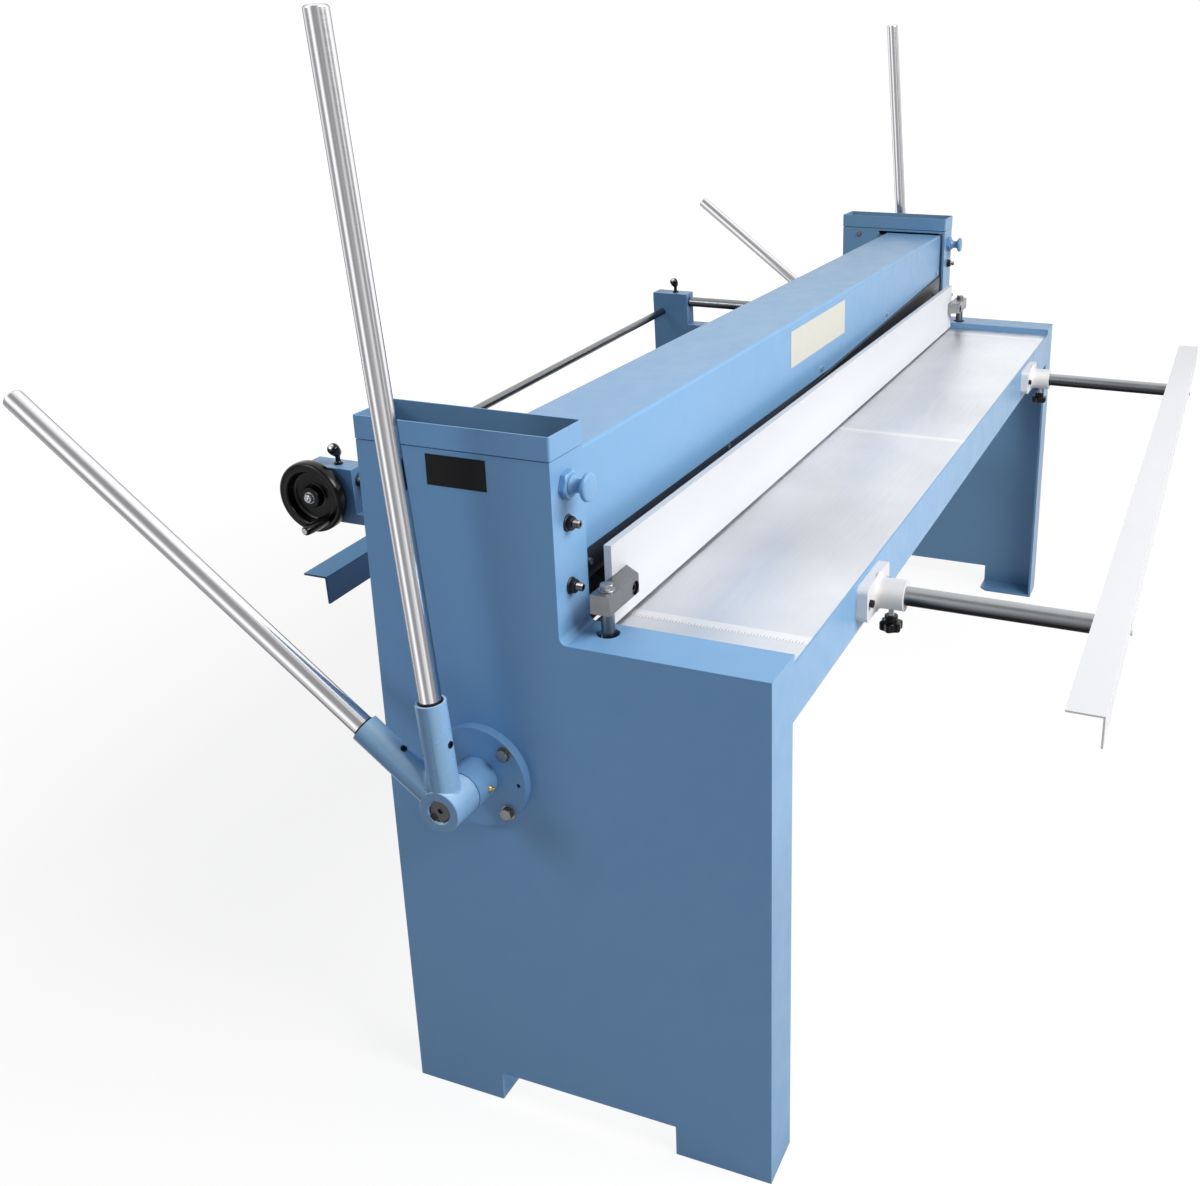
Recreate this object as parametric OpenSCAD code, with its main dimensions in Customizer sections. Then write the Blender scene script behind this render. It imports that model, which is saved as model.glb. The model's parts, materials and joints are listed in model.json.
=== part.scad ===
// Hand-lever table shear: two folded side frames, sloping upper blade, front and rear gauges.
// Millimetres. X runs along the table, -Y is the operator's side, Z is up from the floor.

/* [Overall] */
// Length over the outer faces of the side frames
overall_len = 2410; // [2300:10:2500]
// Height of the front step
step_h = 860; // [850:1:880]
// Height of the rear column above the step
upper_column_h = 270; // [270:1:290]
// Depth of the front step
step_depth = 320; // [314:1:326]
// Depth of the rear column
column_depth = 314; // [310:1:340]

/* [Side frames] */
// Sheet thickness of the frames
sheet_t = 6; // [5:0.5:7]
// Width of the rims folded in on the step and back
rim_w = 90; // [88:1:92]
// Width of the rim on the front leg
leg_rim_w = 84; // [80:1:86]
// Width of the rims round the column
column_rim_w = 92; // [90:1:94]
// Length of each foot
foot_len = 160; // [140:1:180]
// Height of the gap between the feet
foot_gap_h = 54; // [40:1:70]
// Bend radius where the step meets the column
bend_r = 12; // [8:1:16]
// Chamfer on the foot plates
foot_chamfer = 18; // [10:1:24]
// Radius of the leg rim's curve under the apron
leg_curve_r = 30; // [20:1:36]
// Radius of the floor bolt holes
anchor_r = 7; // [5:0.5:9]
// Floor bolt inset from the frame's outer face
anchor_in_x = 52; // [44:1:60]
// Floor bolt inset from the frame's front and back
anchor_in_y = 90; // [80:1:110]

/* [Top trays] */
// Tray height
tray_h = 35; // [28:1:42]
// Tray wall thickness
tray_t = 2.5; // [2:0.5:4]
// Tray overhang past the frame
tray_over = 1.5; // [1:0.5:3]
// Height of the shadow line under the tray
tray_seam = 1.5; // [1:0.5:3]
// Inset of the tray's seat
tray_seat_in = 7; // [5:1:12]

/* [Table] */
// Drop from the step to the table top
table_drop = 15; // [13:1:17]
// Table plate thickness
table_t = 12; // [10:1:14]
// Height of the front apron
apron_h = 90; // [85:1:100]
// Apron sheet thickness
apron_t = 3; // [2:0.5:4]
// Depth of the apron's lower lip
apron_lip = 60; // [40:1:70]
// Width of the inlaid rulers
ruler_w = 25; // [20:1:30]
// Ruler thickness
ruler_t = 1.2; // [1:0.1:1.5]
// Distance of the end rulers from the frame's outer face
ruler_in = 165; // [155:5:205]
// Offset of the middle ruler
ruler_mid_x = -10; // [-30:1:30]

/* [Blades] */
// Distance of the blades' passing plane behind the column's front
shear_in = 6; // [5:0.5:7]
// Running gap between the blades
blade_gap = 0.1; // [0.05:0.01:0.1]
// Slope of the upper blade in degrees
blade_slope = 2.07; // [1.95:0.01:2.07]
// Height of the upper cutting edge over the table at mid length
edge_up = 45; // [45:0.5:47]
// Distance of the blades' ends from the frame's outer face
blade_in = 105; // [105:1:155]
// Upper blade height
blade_h = 70; // [66:1:74]
// Upper blade thickness
blade_t = 16; // [14:0.5:18]
// Lower blade height
low_blade_h = 60; // [50:1:66]
// Lower blade thickness
low_blade_t = 17; // [14:0.5:18]
// Distance of the end bolts from the blades' ends
blade_bolt_in = 84; // [76:1:140]
// Number of bolts in the upper blade
blade_bolts_n = 17; // [11:2:17]
// Radius of the blade bolt heads
blade_head_r = 8; // [7:0.5:9]
// Radius of the blade bolt shanks
blade_shank_r = 5; // [4:0.5:6]

/* [Upper beam] */
// Distance of the beam cover behind the column's front
cover_in = 12; // [11.5:0.5:13]
// Depth of the beam cover
cover_depth = 165; // [150:1:175]
// Drop from the column's top to the cover's top
cover_drop = 10; // [8:1:14]
// Height of the cover's lower edge over the cutting edge
cover_up = 72.5; // [72.5:0.5:74]
// Cover sheet thickness
cover_t = 2.5; // [2:0.5:3]
// Blade carrier thickness
carrier_t = 20; // [16:1:24]
// Height of the blade carrier above the cutting edge
carrier_top = 130; // [120:1:140]
// Height of the carrier's foot above the cutting edge
carrier_foot = 6; // [4:1:10]
// Height of the cover screws above the blade
screw_lift = 16; // [14:1:20]
// Distance of the end screws from the cover's ends
screw_in = 32; // [30:1:110]
// Number of cover screws
screws_n = 5; // [3:2:5]

/* [Drive] */
// Distance of the main shaft behind the column's front
shaft_in = 144; // [142:1:146]
// Drop from the step to the main shaft
shaft_drop = 236; // [230:1:245]
// Radius of the main shaft
shaft_r = 24; // [20:0.5:25]
// Radius of the shaft's ends
journal_r = 16; // [14:0.5:18]
// Running clearance on radius
fit = 0.05; // [0.03:0.01:0.08]
// Crank radius
crank_r = 74; // [74:0.5:74]
// Crank angle above level at rest
crank_up = 37.5; // [37.5:0.5:37.5]
// Roller radius
roller_r = 20; // [18:0.5:22]
// Bearing flange radius
flange_r = 82; // [78:1:90]
// Bearing flange thickness
flange_t = 15; // [12:1:18]
// Radius of the bearing boss
boss_r = 34; // [33:0.5:36]
// Outer end of the bearing boss from the frame
boss_out = 60; // [50:1:66]
// Bolt circle radius of the bearing flange
flange_bolt_r = 70; // [66:0.5:70]
// Lever hub radius
hub_r = 32.5; // [31:0.5:34]
// Outer end of the lever hub from the frame
hub_out = 114; // [110:1:120]
// Lever plane's distance from the frame
lever_out = 93; // [90:1:96]
// Radius of the lever bars
lever_r = 16; // [14:0.5:17]
// Radius of the lever sockets
socket_r = 22; // [20:0.5:24]
// Reach of the sockets from the shaft
socket_reach = 165; // [150:1:180]
// Reach of the upright lever from the shaft
upright_reach = 1090; // [900:5:1150]
// Reach of the raked lever from the shaft
raked_reach = 896; // [800:2:960]
// Lean of the upright lever in degrees
upright_angle = 4.5; // [3:0.1:8]
// Lean of the raked lever in degrees
raked_angle = 53; // [50:0.1:56]

/* [Hold-down] */
// Distance of the hold-down bar's front face from the column
bar_out = 32; // [31:0.5:33]
// Thickness of the hold-down bar
bar_t = 12; // [10:0.5:14]
// Height of the hold-down bar
bar_h = 125; // [118:1:130]
// Lift of the bar over the table
bar_gap = 5; // [3:0.5:6]
// Depth of the clamp blocks
block_d = 31; // [29:0.5:33]
// Height of the clamp blocks
block_h = 30; // [26:1:34]
// Height of the clamp blocks over the table
block_up = 53; // [49:1:59]
// Distance of the clamp rods from the frame's outer face
clamp_rod_in = 58; // [56:0.5:60]
// Radius of the clamp rods
clamp_rod_r = 10; // [9:0.5:11]

/* [Front gauge] */
// Distance of the front rods from the frame's outer face
front_rod_side = 455; // [405:5:505]
// Drop from the table to the front rods
front_rod_dn = 40; // [39:0.5:42]
// Radius of the front rods
front_rod_r = 16; // [14:0.5:17]
// Distance of the front angle's ends from the frame's outer face
front_angle_in = 93; // [85:1:205]
// Reach of the front gauge from the frame's front
front_reach = 423; // [383:1:463]
// Top leg of the front gauge angle
front_leg_top = 52; // [46:1:58]
// Hanging leg of the front gauge angle
front_leg_drop = 47; // [42:1:52]
// Thickness of the front gauge angle
front_leg_t = 3; // [2:0.5:4]
// Width of the bushing flange
bush_w = 132; // [120:1:140]
// Height of the bushing flange
bush_h = 62; // [60:1:64]
// Thickness of the bushing flange
bush_t = 18; // [14:1:20]
// Radius of the bushing boss
bush_r = 26; // [24:0.5:28]
// Length of the bushing boss
bush_len = 47; // [42:1:52]

/* [Rear gauge] */
// Height of the rear rods over the cutting edge
rear_rod_up = 22; // [21:0.5:23]
// Distance of the rear rods from the frame's outer face
rear_rod_side = 439; // [425:1:485]
// Radius of the rear rods
rear_rod_r = 14; // [12:0.5:15]
// Distance of the rear carriages from the frame's back
carriage_out = 358; // [343:1:373]
// Depth of the rear carriages
carriage_d = 107; // [100:1:112]
// Width of the rear carriages
carriage_w = 46; // [42:1:52]
// Top of the carriages over the rods
carriage_up = 25; // [22:1:28]
// Foot of the left carriage under the rods
carriage_dn = 84; // [80:1:90]
// Foot of the right carriage under the rods
carriage_dn_right = 175; // [150:1:180]
// Height of the cross shaft under the rods
cross_dn = 30; // [28:0.5:32]
// Distance of the cross shaft from the carriages' back
cross_in = 27; // [25:0.5:30]
// Radius of the cross shaft
cross_r = 10; // [9:0.5:11]
// Distance of the rear angle's ends from the frame's outer face
rear_angle_in = 205; // [185:5:305]
// Distance of the rear angle in front of the carriages
rear_angle_out = 96; // [85:1:105]
// Top leg of the rear gauge angle
rear_leg_top = 48; // [44:1:54]
// Hanging leg of the rear gauge angle
rear_leg_drop = 52; // [46:1:58]
// Thickness of the rear gauge angle
rear_leg_t = 4; // [3:0.5:5]
// Handwheel radius
wheel_r = 70; // [62:1:76]
// Handwheel depth
wheel_d = 24; // [20:1:28]

/* [Frame details] */
// Wall-to-wall clearance between moving bodies
gap = 0.3; // [0.3:0.05:0.4]
// Height of the bed from its foot to the table top
bed_h = 105; // [97:1:115]
// Depth of the bed in front of the blade
bed_d = 29; // [28:0.5:30]
// Thickness of the front gibs
gib_t = 12; // [11:0.1:12]
// Distance of the rear guides behind the column's front
rear_guide_in = 202; // [200:0.5:204]
// Reach of the rear guides below the table top
rear_guide_dn = 145; // [125:1:155]
// Distance of the rear guide's bolt from the frame's back
guide_bolt_in = 52; // [38:1:76]
// Distance of the rear guide's bolt from the column's top
guide_bolt_dn = 18; // [18:1:30]
// Width across corners of the rear guide's bolt head
guide_head_d = 15; // [12:0.5:18]
// Radius of the clamp rod guides
guide_r = 16; // [14:0.5:16]
// Bottom of the clamp rod guides under the table top
guide_dn = 103; // [101:1:109]
// Top of the clamp rod guides under the table top
guide_top_dn = 15; // [5:1:25]
// Height of the clamp rod guides' arms
guide_arm_h = 18; // [14:1:24]
// Radius of the frame bolts
bolt_r = 6; // [5:0.5:6]
// Width across corners of the frame bolt heads
bolt_head_d = 21; // [18:0.5:22]
// Height of the frame bolt heads
bolt_head_h = 8; // [6:0.5:10]
// Radius of the jacking holes in the bearing flanges
jack_r = 3.5; // [3:0.5:4]
// Radius of the grease nipples
nipple_r = 3; // [2.5:0.1:3.5]
// Distance of the grease nipples from the frame
nipple_in = 35; // [30:1:44]
// Rise of the apron's inner lip
apron_rise = 28; // [20:1:28]
// Corner radius of the bushing flanges
bush_round = 12; // [8:1:14]
// Distance of the bushing screws from the rod
bush_screw_x = 50; // [44:1:52]
// Radius of the bushing screws
bush_screw_r = 4; // [3:0.5:5]
// Radius of the bushing screw heads
bush_head_r = 6.5; // [6:0.5:7.5]
// Width of the rating plate
rating_w = 97; // [80:1:110]
// Height of the rating plate
rating_h = 46; // [40:1:50]
// Distance of the rating plate behind the column's front
rating_in = 101; // [77:1:117]
// Distance of the rating plate's lower edge from the column's top
rating_dn = 54; // [50:1:70]
// Thickness of the bare plates
plate_t = 0.8; // [0.6:0.1:1]

/* [Gib knobs and screws] */
// Distance of the gib screws from the frame's outer face
gib_in = 41; // [38:1:44]
// Radius of the gib screws
gib_screw_r = 6; // [5:0.5:7]
// Width across corners of the lock nuts
nut_d = 24; // [20:1:26]
// Width across corners of the knob nuts
knob_nut_d = 46; // [40:1:48]
// Height of the lock nuts
nut_h = 10; // [8:1:12]
// Distance of the upper gib screws from the column's top
gib_hi_dn = 100; // [94:1:110]
// Distance of the lower gib screws from the column's top
gib_lo_dn = 195; // [185:1:205]
// Distance of the gib knobs from the column's top
knob_dn = 43; // [40:1:50]
// Radius of the gib knobs
knob_r = 21; // [18:0.5:23]
// Distance of the knob's face from the column
knob_out = 40; // [36:1:44]

/* [Drive details] */
// Shoulder clearance of the main shaft
shoulder = 4; // [2:0.5:5]
// Radius of the crank hubs
crank_hub_r = 40; // [34:1:44]
// Crank thickness
crank_t = 18; // [14:1:20]
// Radius of the roller pins
roller_pin_r = 12; // [10:0.5:13]
// Yoke plate thickness
yoke_t = 16; // [12:1:17]
// Distance of the yokes from the frame's outer face
yoke_in = 35; // [35:1:37]
// Distance of the yoke plates behind the column's front
yoke_front = 33; // [29:1:35]
// Side clearance of the cranks and rollers
crank_gap = 4; // [3:0.5:5]
// Slot clearance of the rollers
slot_fit = 1.5; // [1.4:0.1:1.6]
// Overhang of the rollers on each side of the yokes
roller_over = 1; // [0.5:0.1:2]
// Width of the shaft keys
key_w = 10; // [8:1:10]
// Radius of the centre drillings
centre_r = 4; // [3:0.5:5]
// Distance from the shaft to the foot of the lever bars
lever_foot = 58; // [56:1:62]
// Distance from the shaft to the socket screws
socket_screw_up = 100; // [90:1:120]
// Radius of the socket screws
set_screw_r = 5; // [4:0.5:6]
// Chamfer on the lever ends
lever_tip = 3; // [2:0.5:4]

/* [Beam details] */
// Distance of the beam's ends from the frame's outer face
block_in = 95; // [95:0.5:96]
// Height of the slide blocks' bottom over the cutting edge
slide_up = 40; // [36:1:44]
// Top of the slide blocks under the cover's top
block_drop = 8; // [6:1:12]
// Lip of the cover's rear wall
cover_lip = 25; // [20:1:30]
// Height of the blade bolts over the cutting edge
bolt_up = 31; // [28:1:34]
// Radius of the cover screw heads
screw_head_r = 5.5; // [5:0.5:5.5]
// Radius of the cover screw shanks
screw_shank_r = 3; // [2.5:0.5:3.5]
// Height of the cover screw heads
screw_head_h = 3.5; // [3:0.5:4]
// Length of the beam plate
beam_plate_w = 370; // [300:5:400]
// Height of the beam plate
beam_plate_h = 77; // [60:1:84]
// Left edge of the beam plate
beam_plate_x = -205; // [-230:5:-150]
// Distance of the beam plate's lower edge from the cover's top
beam_plate_dn = 96; // [90:1:98]

/* [Clamp details] */
// Outer end of the clamp blocks from the rods
block_end = 23; // [20:1:24]
// Slant of the clamp blocks' inner end
block_slant = 23; // [16:1:26]
// Wall between the counterbore and the slant
block_edge = 0.5; // [0.5:0.5:6]
// Distance of the block screws from the bar's ends
bar_screw_in = 13; // [12:0.5:14]
// Height of the block screws in the clamp blocks
block_screw_up = 11; // [10:0.5:13]
// Radius of the counterbores
counter_r = 10.5; // [9:0.5:10.5]
// Depth of the counterbores
counter_d = 12; // [10:1:16]
// Washer thickness
washer_t = 2; // [1.5:0.5:3]

/* [Gauge details] */
// Radius of the clamping studs
stud_r = 5; // [4:0.5:5]
// Distance of the star knobs from the bushing flanges
star_in = 23; // [22:0.5:25]
// Radius of the star knobs
star_r = 20; // [17:0.5:22]
// Height of the star knobs
star_h = 17; // [14:1:20]
// Length of the star knobs' collar and stud below the boss
star_neck = 22; // [20:1:24]
// Length of the front rods inside the apron
front_rod_in = 37; // [30:1:44]
// Seat of the rear rods on the carrier
rod_seat = 30; // [26:1:30]
// Height of the carriage arms
arm_h = 20; // [16:1:24]
// Distance of the clamp levers from the carriage front
lever_set = 45; // [35:1:55]
// Height of the clamp lever stems
lever_stem = 22; // [18:1:26]
// Length of the clamp lever heads
lever_head = 14; // [10:1:18]
// Angle of the clamp lever heads
head_angle = 40; // [20:1:60]
// Side clearance of the handwheel
wheel_gap = 6; // [4:1:8]
// Width of the shaft collars
collar_w = 10; // [8:1:12]
// Web thickness of the handwheel
web_t = 5; // [4:0.5:7]
// Rounding of the handwheel's rim
rim_round = 4; // [3:0.5:5]
// Ring of the handwheel's grip
grip_ring = 52; // [50:0.5:53]
// Angle of the handwheel's grip
grip_at = 225; // [0:5:355]
// Radius of the revolving grip
grip_r = 9; // [8:0.5:10]
// Length of the revolving grip
grip_len = 50; // [44:1:56]
// Radius of the grip's pin
grip_pin_r = 4; // [3:0.5:5]

/* [Hidden] */
$fn = 48;
cut_over = 5;
hair = 0.01;
wall = 3;
hex = 6;
gib_slack = 0.5;
chamfer_share = sqrt(2);
rod_hole_share = 1.7;
washer_share = 0.58;
neck_share = 0.6;
crown_share = 0.8;
star_core_share = 0.8;
star_lobe_share = 0.3;
collar_share = 1.6;
wheel_hub_share = 2.2;
wheel_rim_share = 0.77;
slot_share = 2;
star_lobes_n = 6;
column_h = step_h + upper_column_h;
table_z = step_h - table_drop;
apron_z = table_z - apron_h;
bed_z = table_z - bed_h;
body_depth = step_depth + column_depth;
xo = overall_len / 2;
x_in = xo - sheet_t;
x_rim = xo - rim_w;
x_leg = xo - leg_rim_w;
x_col = xo - column_rim_w;
y_front = -body_depth / 2;
y_back = body_depth / 2;
y_col = y_front + step_depth;
bed_y = y_col - bed_d;
shear_y = y_col + shear_in;
edge_mid_z = table_z + edge_up;
blade_len = overall_len - 2 * blade_in;
blade_bolt_pitch = (blade_len - 2 * blade_bolt_in) / (blade_bolts_n - 1);
ruler_x = xo - ruler_in;
rear_guide_y = y_col + rear_guide_in;
rear_guide_z = table_z - rear_guide_dn;
guide_bolt_y = y_back - guide_bolt_in;
guide_bolt_z = column_h - guide_bolt_dn;
guide_z0 = table_z - guide_dn;
guide_z1 = table_z - guide_top_dn;
gib_low = table_z - table_t + wall;
gib_hi_z = column_h - gib_hi_dn;
gib_lo_z = column_h - gib_lo_dn;
knob_z = column_h - knob_dn;
rating_y = y_col + rating_in;
rating_z = column_h - rating_dn;
gib_y0 = y_col + sheet_t + gib_slack;
gib_y1 = gib_y0 + gib_t;
spigot_r = boss_r + wall / 2;
guide_floor = clamp_rod_r;
low_y1 = shear_y - blade_gap;
low_y0 = low_y1 - low_blade_t;
shank_y = shear_y + blade_t;
carrier_y1 = shank_y + carrier_t;
beam_x = xo - block_in;
cover_y = y_col + cover_in;
cover_top = column_h - cover_drop;
cover_low = edge_mid_z + cover_up;
screw_pitch = 2 * (beam_x - screw_in) / (screws_n - 1);
block_low = edge_mid_z + slide_up;
beam_plate_z = cover_top - beam_plate_dn;
block_x0 = x_in - crank_gap;
cover_back = cover_y + cover_depth;
screw_up = blade_h + screw_lift;
yoke_x0 = xo - yoke_in;
yoke_x1 = yoke_x0 - yoke_t;
crank_x = yoke_x1 - crank_gap;
yoke_y0 = y_col + yoke_front;
shaft_y = y_col + shaft_in;
shaft_z = step_h - shaft_drop;
pin_y = shaft_y - crank_r * cos(crank_up);
pin_z = shaft_z + crank_r * sin(crank_up);
slot_y0 = shaft_y - crank_r;
slot_h = roller_r + slot_fit;
lever_x = xo + lever_out;
clamp_x = xo - clamp_rod_in;
bar_y = y_col - bar_out;
clamp_y = bar_y - block_d / 2;
block_x = -clamp_x - block_end;
block_z = table_z + block_up;
block_screw_x = blade_len / 2 - bar_screw_in;
block_screw_z = block_z + block_screw_up;
block_top = block_z + block_h;
counter_y = bar_y - block_d + counter_d;
bush_y = y_front - bush_t;
boss_y = bush_y - bush_len;
star_y = bush_y - star_in;
front_rod_x = xo - front_rod_side;
front_rod_z = table_z - front_rod_dn;
rear_rod_x = xo - rear_rod_side;
front_angle_y = y_front - front_reach;
carriage_y = y_back + carriage_out;
rear_angle_y = carriage_y - rear_angle_out;
rear_y1 = carriage_y + carriage_d;
cross_y = rear_y1 - cross_in;
lever_y = carriage_y + lever_set;
wheel_x = rear_rod_x + carriage_w / 2 + wheel_gap;
rim_in = wheel_r * wheel_rim_share;
web_z = wheel_d / wall;

module box(x0, x1, y0, y1, z0, z1) {
  translate([x0, y0, z0]) cube([x1 - x0, y1 - y0, z1 - z0]);
}

// Round bars along X, Y and Z
module rod_x(r, x0, x1, y, z) {
  translate([x0, y, z]) rotate([0, 90, 0]) cylinder(r = r, h = x1 - x0);
}
module rod_y(r, y0, y1, x, z) {
  translate([x, y1, z]) rotate([90, 0, 0]) cylinder(r = r, h = y1 - y0);
}
module rod_z(r, z0, z1, x, y) {
  translate([x, y, z0]) cylinder(r = r, h = z1 - z0);
}

module hex_y(d, y0, y1, x, z) {
  translate([x, y1, z]) rotate([90, 0, 0]) cylinder(d = d, h = y1 - y0, $fn = hex);
}

module sides() {
  children();
  mirror([1, 0, 0]) children();
}
module right_hand() {
  mirror([1, 0, 0]) children();
}

// Frame of the sloping blade: origin on the cutting edge at mid length
module sloped() {
  translate([0, 0, edge_mid_z]) rotate([0, -blade_slope, 0]) children();
}

// Frame of the rear gauge: origin on the line of the rear rods
module rear_frame() {
  sloped() translate([0, 0, rear_rod_up]) children();
}

// Side frame: outer sheet, rims folded inwards, foot plates and the clamp rod's guide
module side_frame() {
  color([0.34, 0.52, 0.70]) difference() {
    union() {
      box(-xo, -x_in, y_front, y_back, 0, step_h);
      box(-xo, -x_in, y_col, y_back, 0, column_h);
      box(-xo, -x_leg, y_front, y_front + sheet_t, 0, step_h);
      box(-xo, -x_rim, y_front, y_col + sheet_t, step_h - sheet_t, step_h);
      box(-x_rim - sheet_t, -x_rim, y_front, bed_y, apron_z, step_h);
      box(-x_rim - sheet_t, -x_rim, y_front, y_col + sheet_t, table_z, step_h);
      box(-xo, -x_col, y_col, y_col + sheet_t, step_h - sheet_t, column_h);
      box(-xo, -x_col, y_col, y_back, column_h - sheet_t, column_h);
      box(-xo, -x_col, y_back - sheet_t, y_back, 0, column_h);
      box(-xo, -x_rim, y_col - bend_r, y_col + sheet_t, step_h - sheet_t, step_h + bend_r);
      foot_plate(y_front, y_front + foot_len, foot_len);
      foot_plate(y_back - foot_len, y_back, 0);
      rod_z(guide_r, guide_z0, guide_z1, -clamp_x, clamp_y);
      guide_arm();
      leg_curve();
    }
    box(-xo - cut_over, -x_in + cut_over, y_front + foot_len, y_back - foot_len, -cut_over, foot_gap_h);
    rod_x(bend_r, -xo - cut_over, -x_rim + cut_over, y_col - bend_r, step_h + bend_r);
    rod_x(spigot_r, -xo - cut_over, -x_in + cut_over, shaft_y, shaft_z);
    flange_bolt_holes(-xo - cut_over, -x_in + cut_over);
    rod_z(rod_hole_share * clamp_rod_r, step_h - sheet_t - cut_over, step_h + cut_over, -clamp_x, clamp_y);
    gib_hole(knob_z, gib_screw_r + fit);
    gib_hole(gib_hi_z, gib_screw_r);
    gib_hole(gib_lo_z, gib_screw_r);
    for (y = [y_front + anchor_in_y, y_back - anchor_in_y])
      rod_z(anchor_r, -cut_over, sheet_t + cut_over, -xo + anchor_in_x, y);
    rod_z(clamp_rod_r + fit, guide_z0 + guide_floor, guide_z1 + cut_over, -clamp_x, clamp_y);
  }
}
module guide_arm() {
  box(-x_in - hair, -clamp_x, clamp_y - clamp_rod_r, clamp_y + clamp_rod_r, guide_z0, guide_z0 + guide_arm_h);
}
module leg_curve() {
  x = -x_leg + leg_curve_r;
  z = apron_z - leg_curve_r;
  difference() {
    box(-x_leg - hair, x, y_front, y_front + sheet_t, z, apron_z);
    rod_y(leg_curve_r, y_front - cut_over, y_front + sheet_t + cut_over, x, z);
  }
}
module gib_hole(z, r) {
  rod_y(r, y_col - cut_over, y_col + sheet_t + cut_over, -xo + gib_in, z);
}
module foot_plate(y0, y1, at) {
  side = foot_chamfer * chamfer_share;
  difference() {
    box(-xo, -x_leg, y0, y1, 0, sheet_t);
    translate([-x_leg, y0 + at, 0]) rotate([0, 0, 45]) cube([side, side, side], center = true);
  }
}
module flange_bolt_holes(x0, x1) {
  for (a = [45:90:315])
    rod_x(bolt_r, x0, x1, shaft_y + flange_bolt_r * cos(a), shaft_z + flange_bolt_r * sin(a));
}
module left_side_frame() side_frame();
module right_side_frame() right_hand() side_frame();

// Open tray on the column, standing on a smaller seat
module top_tray() {
  x0 = -xo - tray_over;
  y0 = y_col - tray_over;
  y1 = y_back + tray_over;
  z0 = column_h + tray_seam;
  color([0.36, 0.55, 0.74]) {
    box(x0 + tray_seat_in, -x_col - tray_seat_in, y0 + tray_seat_in, y1 - tray_seat_in, column_h, z0 + hair);
    difference() {
      box(x0, -x_col, y0, y1, z0, z0 + tray_h);
      box(x0 + tray_t, -x_col - tray_t, y0 + tray_t, y1 - tray_t, z0 + tray_t, z0 + tray_h + cut_over);
    }
  }
}
module left_top_tray() top_tray();
module right_top_tray() right_hand() top_tray();

// Bent guide plate behind the slide block
module rear_guide() {
  color([0.30, 0.46, 0.62]) difference() {
    union() {
      box(-x_in, -x_col, rear_guide_y, rear_guide_y + sheet_t, rear_guide_z, column_h - sheet_t);
      box(-x_col - sheet_t, -x_col, rear_guide_y, y_back - sheet_t, rear_guide_z, column_h - sheet_t);
    }
    rod_x(bolt_r, -xo, -x_col + cut_over, guide_bolt_y, guide_bolt_z);
  }
}
module left_rear_guide() rear_guide();
module right_rear_guide() right_hand() rear_guide();

// Front gib bar behind the column's front rim
module front_gib() {
  color([0.16, 0.17, 0.18]) difference() {
    box(-block_x0, -x_col - wall, gib_y0, gib_y1, gib_low, column_h - sheet_t);
    for (z = [gib_hi_z, gib_lo_z]) rod_y(gib_screw_r / 2, gib_y0 - cut_over, gib_y0 + wall, -xo + gib_in, z);
  }
}
module left_front_gib() front_gib();
module right_front_gib() right_hand() front_gib();

// Gib screws with lock nuts, and the nuts of the gib knobs
module gib_screws() {
  color([0.09, 0.09, 0.10]) sides() {
    for (z = [gib_hi_z, gib_lo_z]) difference() {
      union() {
        rod_y(gib_screw_r, y_col - 2 * nut_h, y_col + sheet_t, -xo + gib_in, z);
        rod_y(gib_screw_r / 2, y_col + sheet_t - hair, gib_y0 + wall, -xo + gib_in, z);
        hex_y(nut_d, y_col - nut_h, y_col, -xo + gib_in, z);
      }
      hex_y(gib_screw_r, y_col - 2 * nut_h - cut_over, y_col - 2 * nut_h + wall, -xo + gib_in, z);
    }
    difference() {
      hex_y(knob_nut_d, y_col - nut_h, y_col, -xo + gib_in, knob_z);
      rod_y(gib_screw_r + fit, y_col - nut_h - cut_over, y_col + cut_over, -xo + gib_in, knob_z);
    }
  }
}

// Flange bearing: round flange, boss and a spigot in the frame's sheet
module bearing_flange() {
  color([0.36, 0.55, 0.74]) difference() {
    union() {
      rod_x(flange_r, -xo - flange_t, -xo, shaft_y, shaft_z);
      rod_x(boss_r, -xo - boss_out, -xo, shaft_y, shaft_z);
      rod_x(spigot_r, -xo - hair, -x_in, shaft_y, shaft_z);
    }
    rod_x(journal_r + fit, -xo - boss_out - cut_over, -x_in + cut_over, shaft_y, shaft_z);
    flange_bolt_holes(-xo - flange_t - cut_over, -xo + cut_over);
    for (y = [-flange_bolt_r, flange_bolt_r])
      rod_x(jack_r, -xo - flange_t - cut_over, -xo + hair, shaft_y + y, shaft_z);
    rod_y(nipple_r, shaft_y - flange_r, shaft_y - journal_r - wall, -xo - nipple_in, shaft_z);
  }
}
module left_bearing_flange() bearing_flange();
module right_bearing_flange() right_hand() bearing_flange();

module grease_nipples() {
  y1 = shaft_y - boss_r + hair;
  color([0.80, 0.62, 0.30]) sides() {
    rod_y(nipple_r, y1 - wall, shaft_y - journal_r - wall, -xo - nipple_in, shaft_z);
    translate([-xo - nipple_in, y1, shaft_z]) rotate([90, 0, 0])
      cylinder(r1 = nipple_r + wall / 2, r2 = nipple_r, h = wall);
    translate([-xo - nipple_in, y1 - nipple_r - wall / 2, shaft_z]) sphere(r = nipple_r);
  }
}

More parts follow.
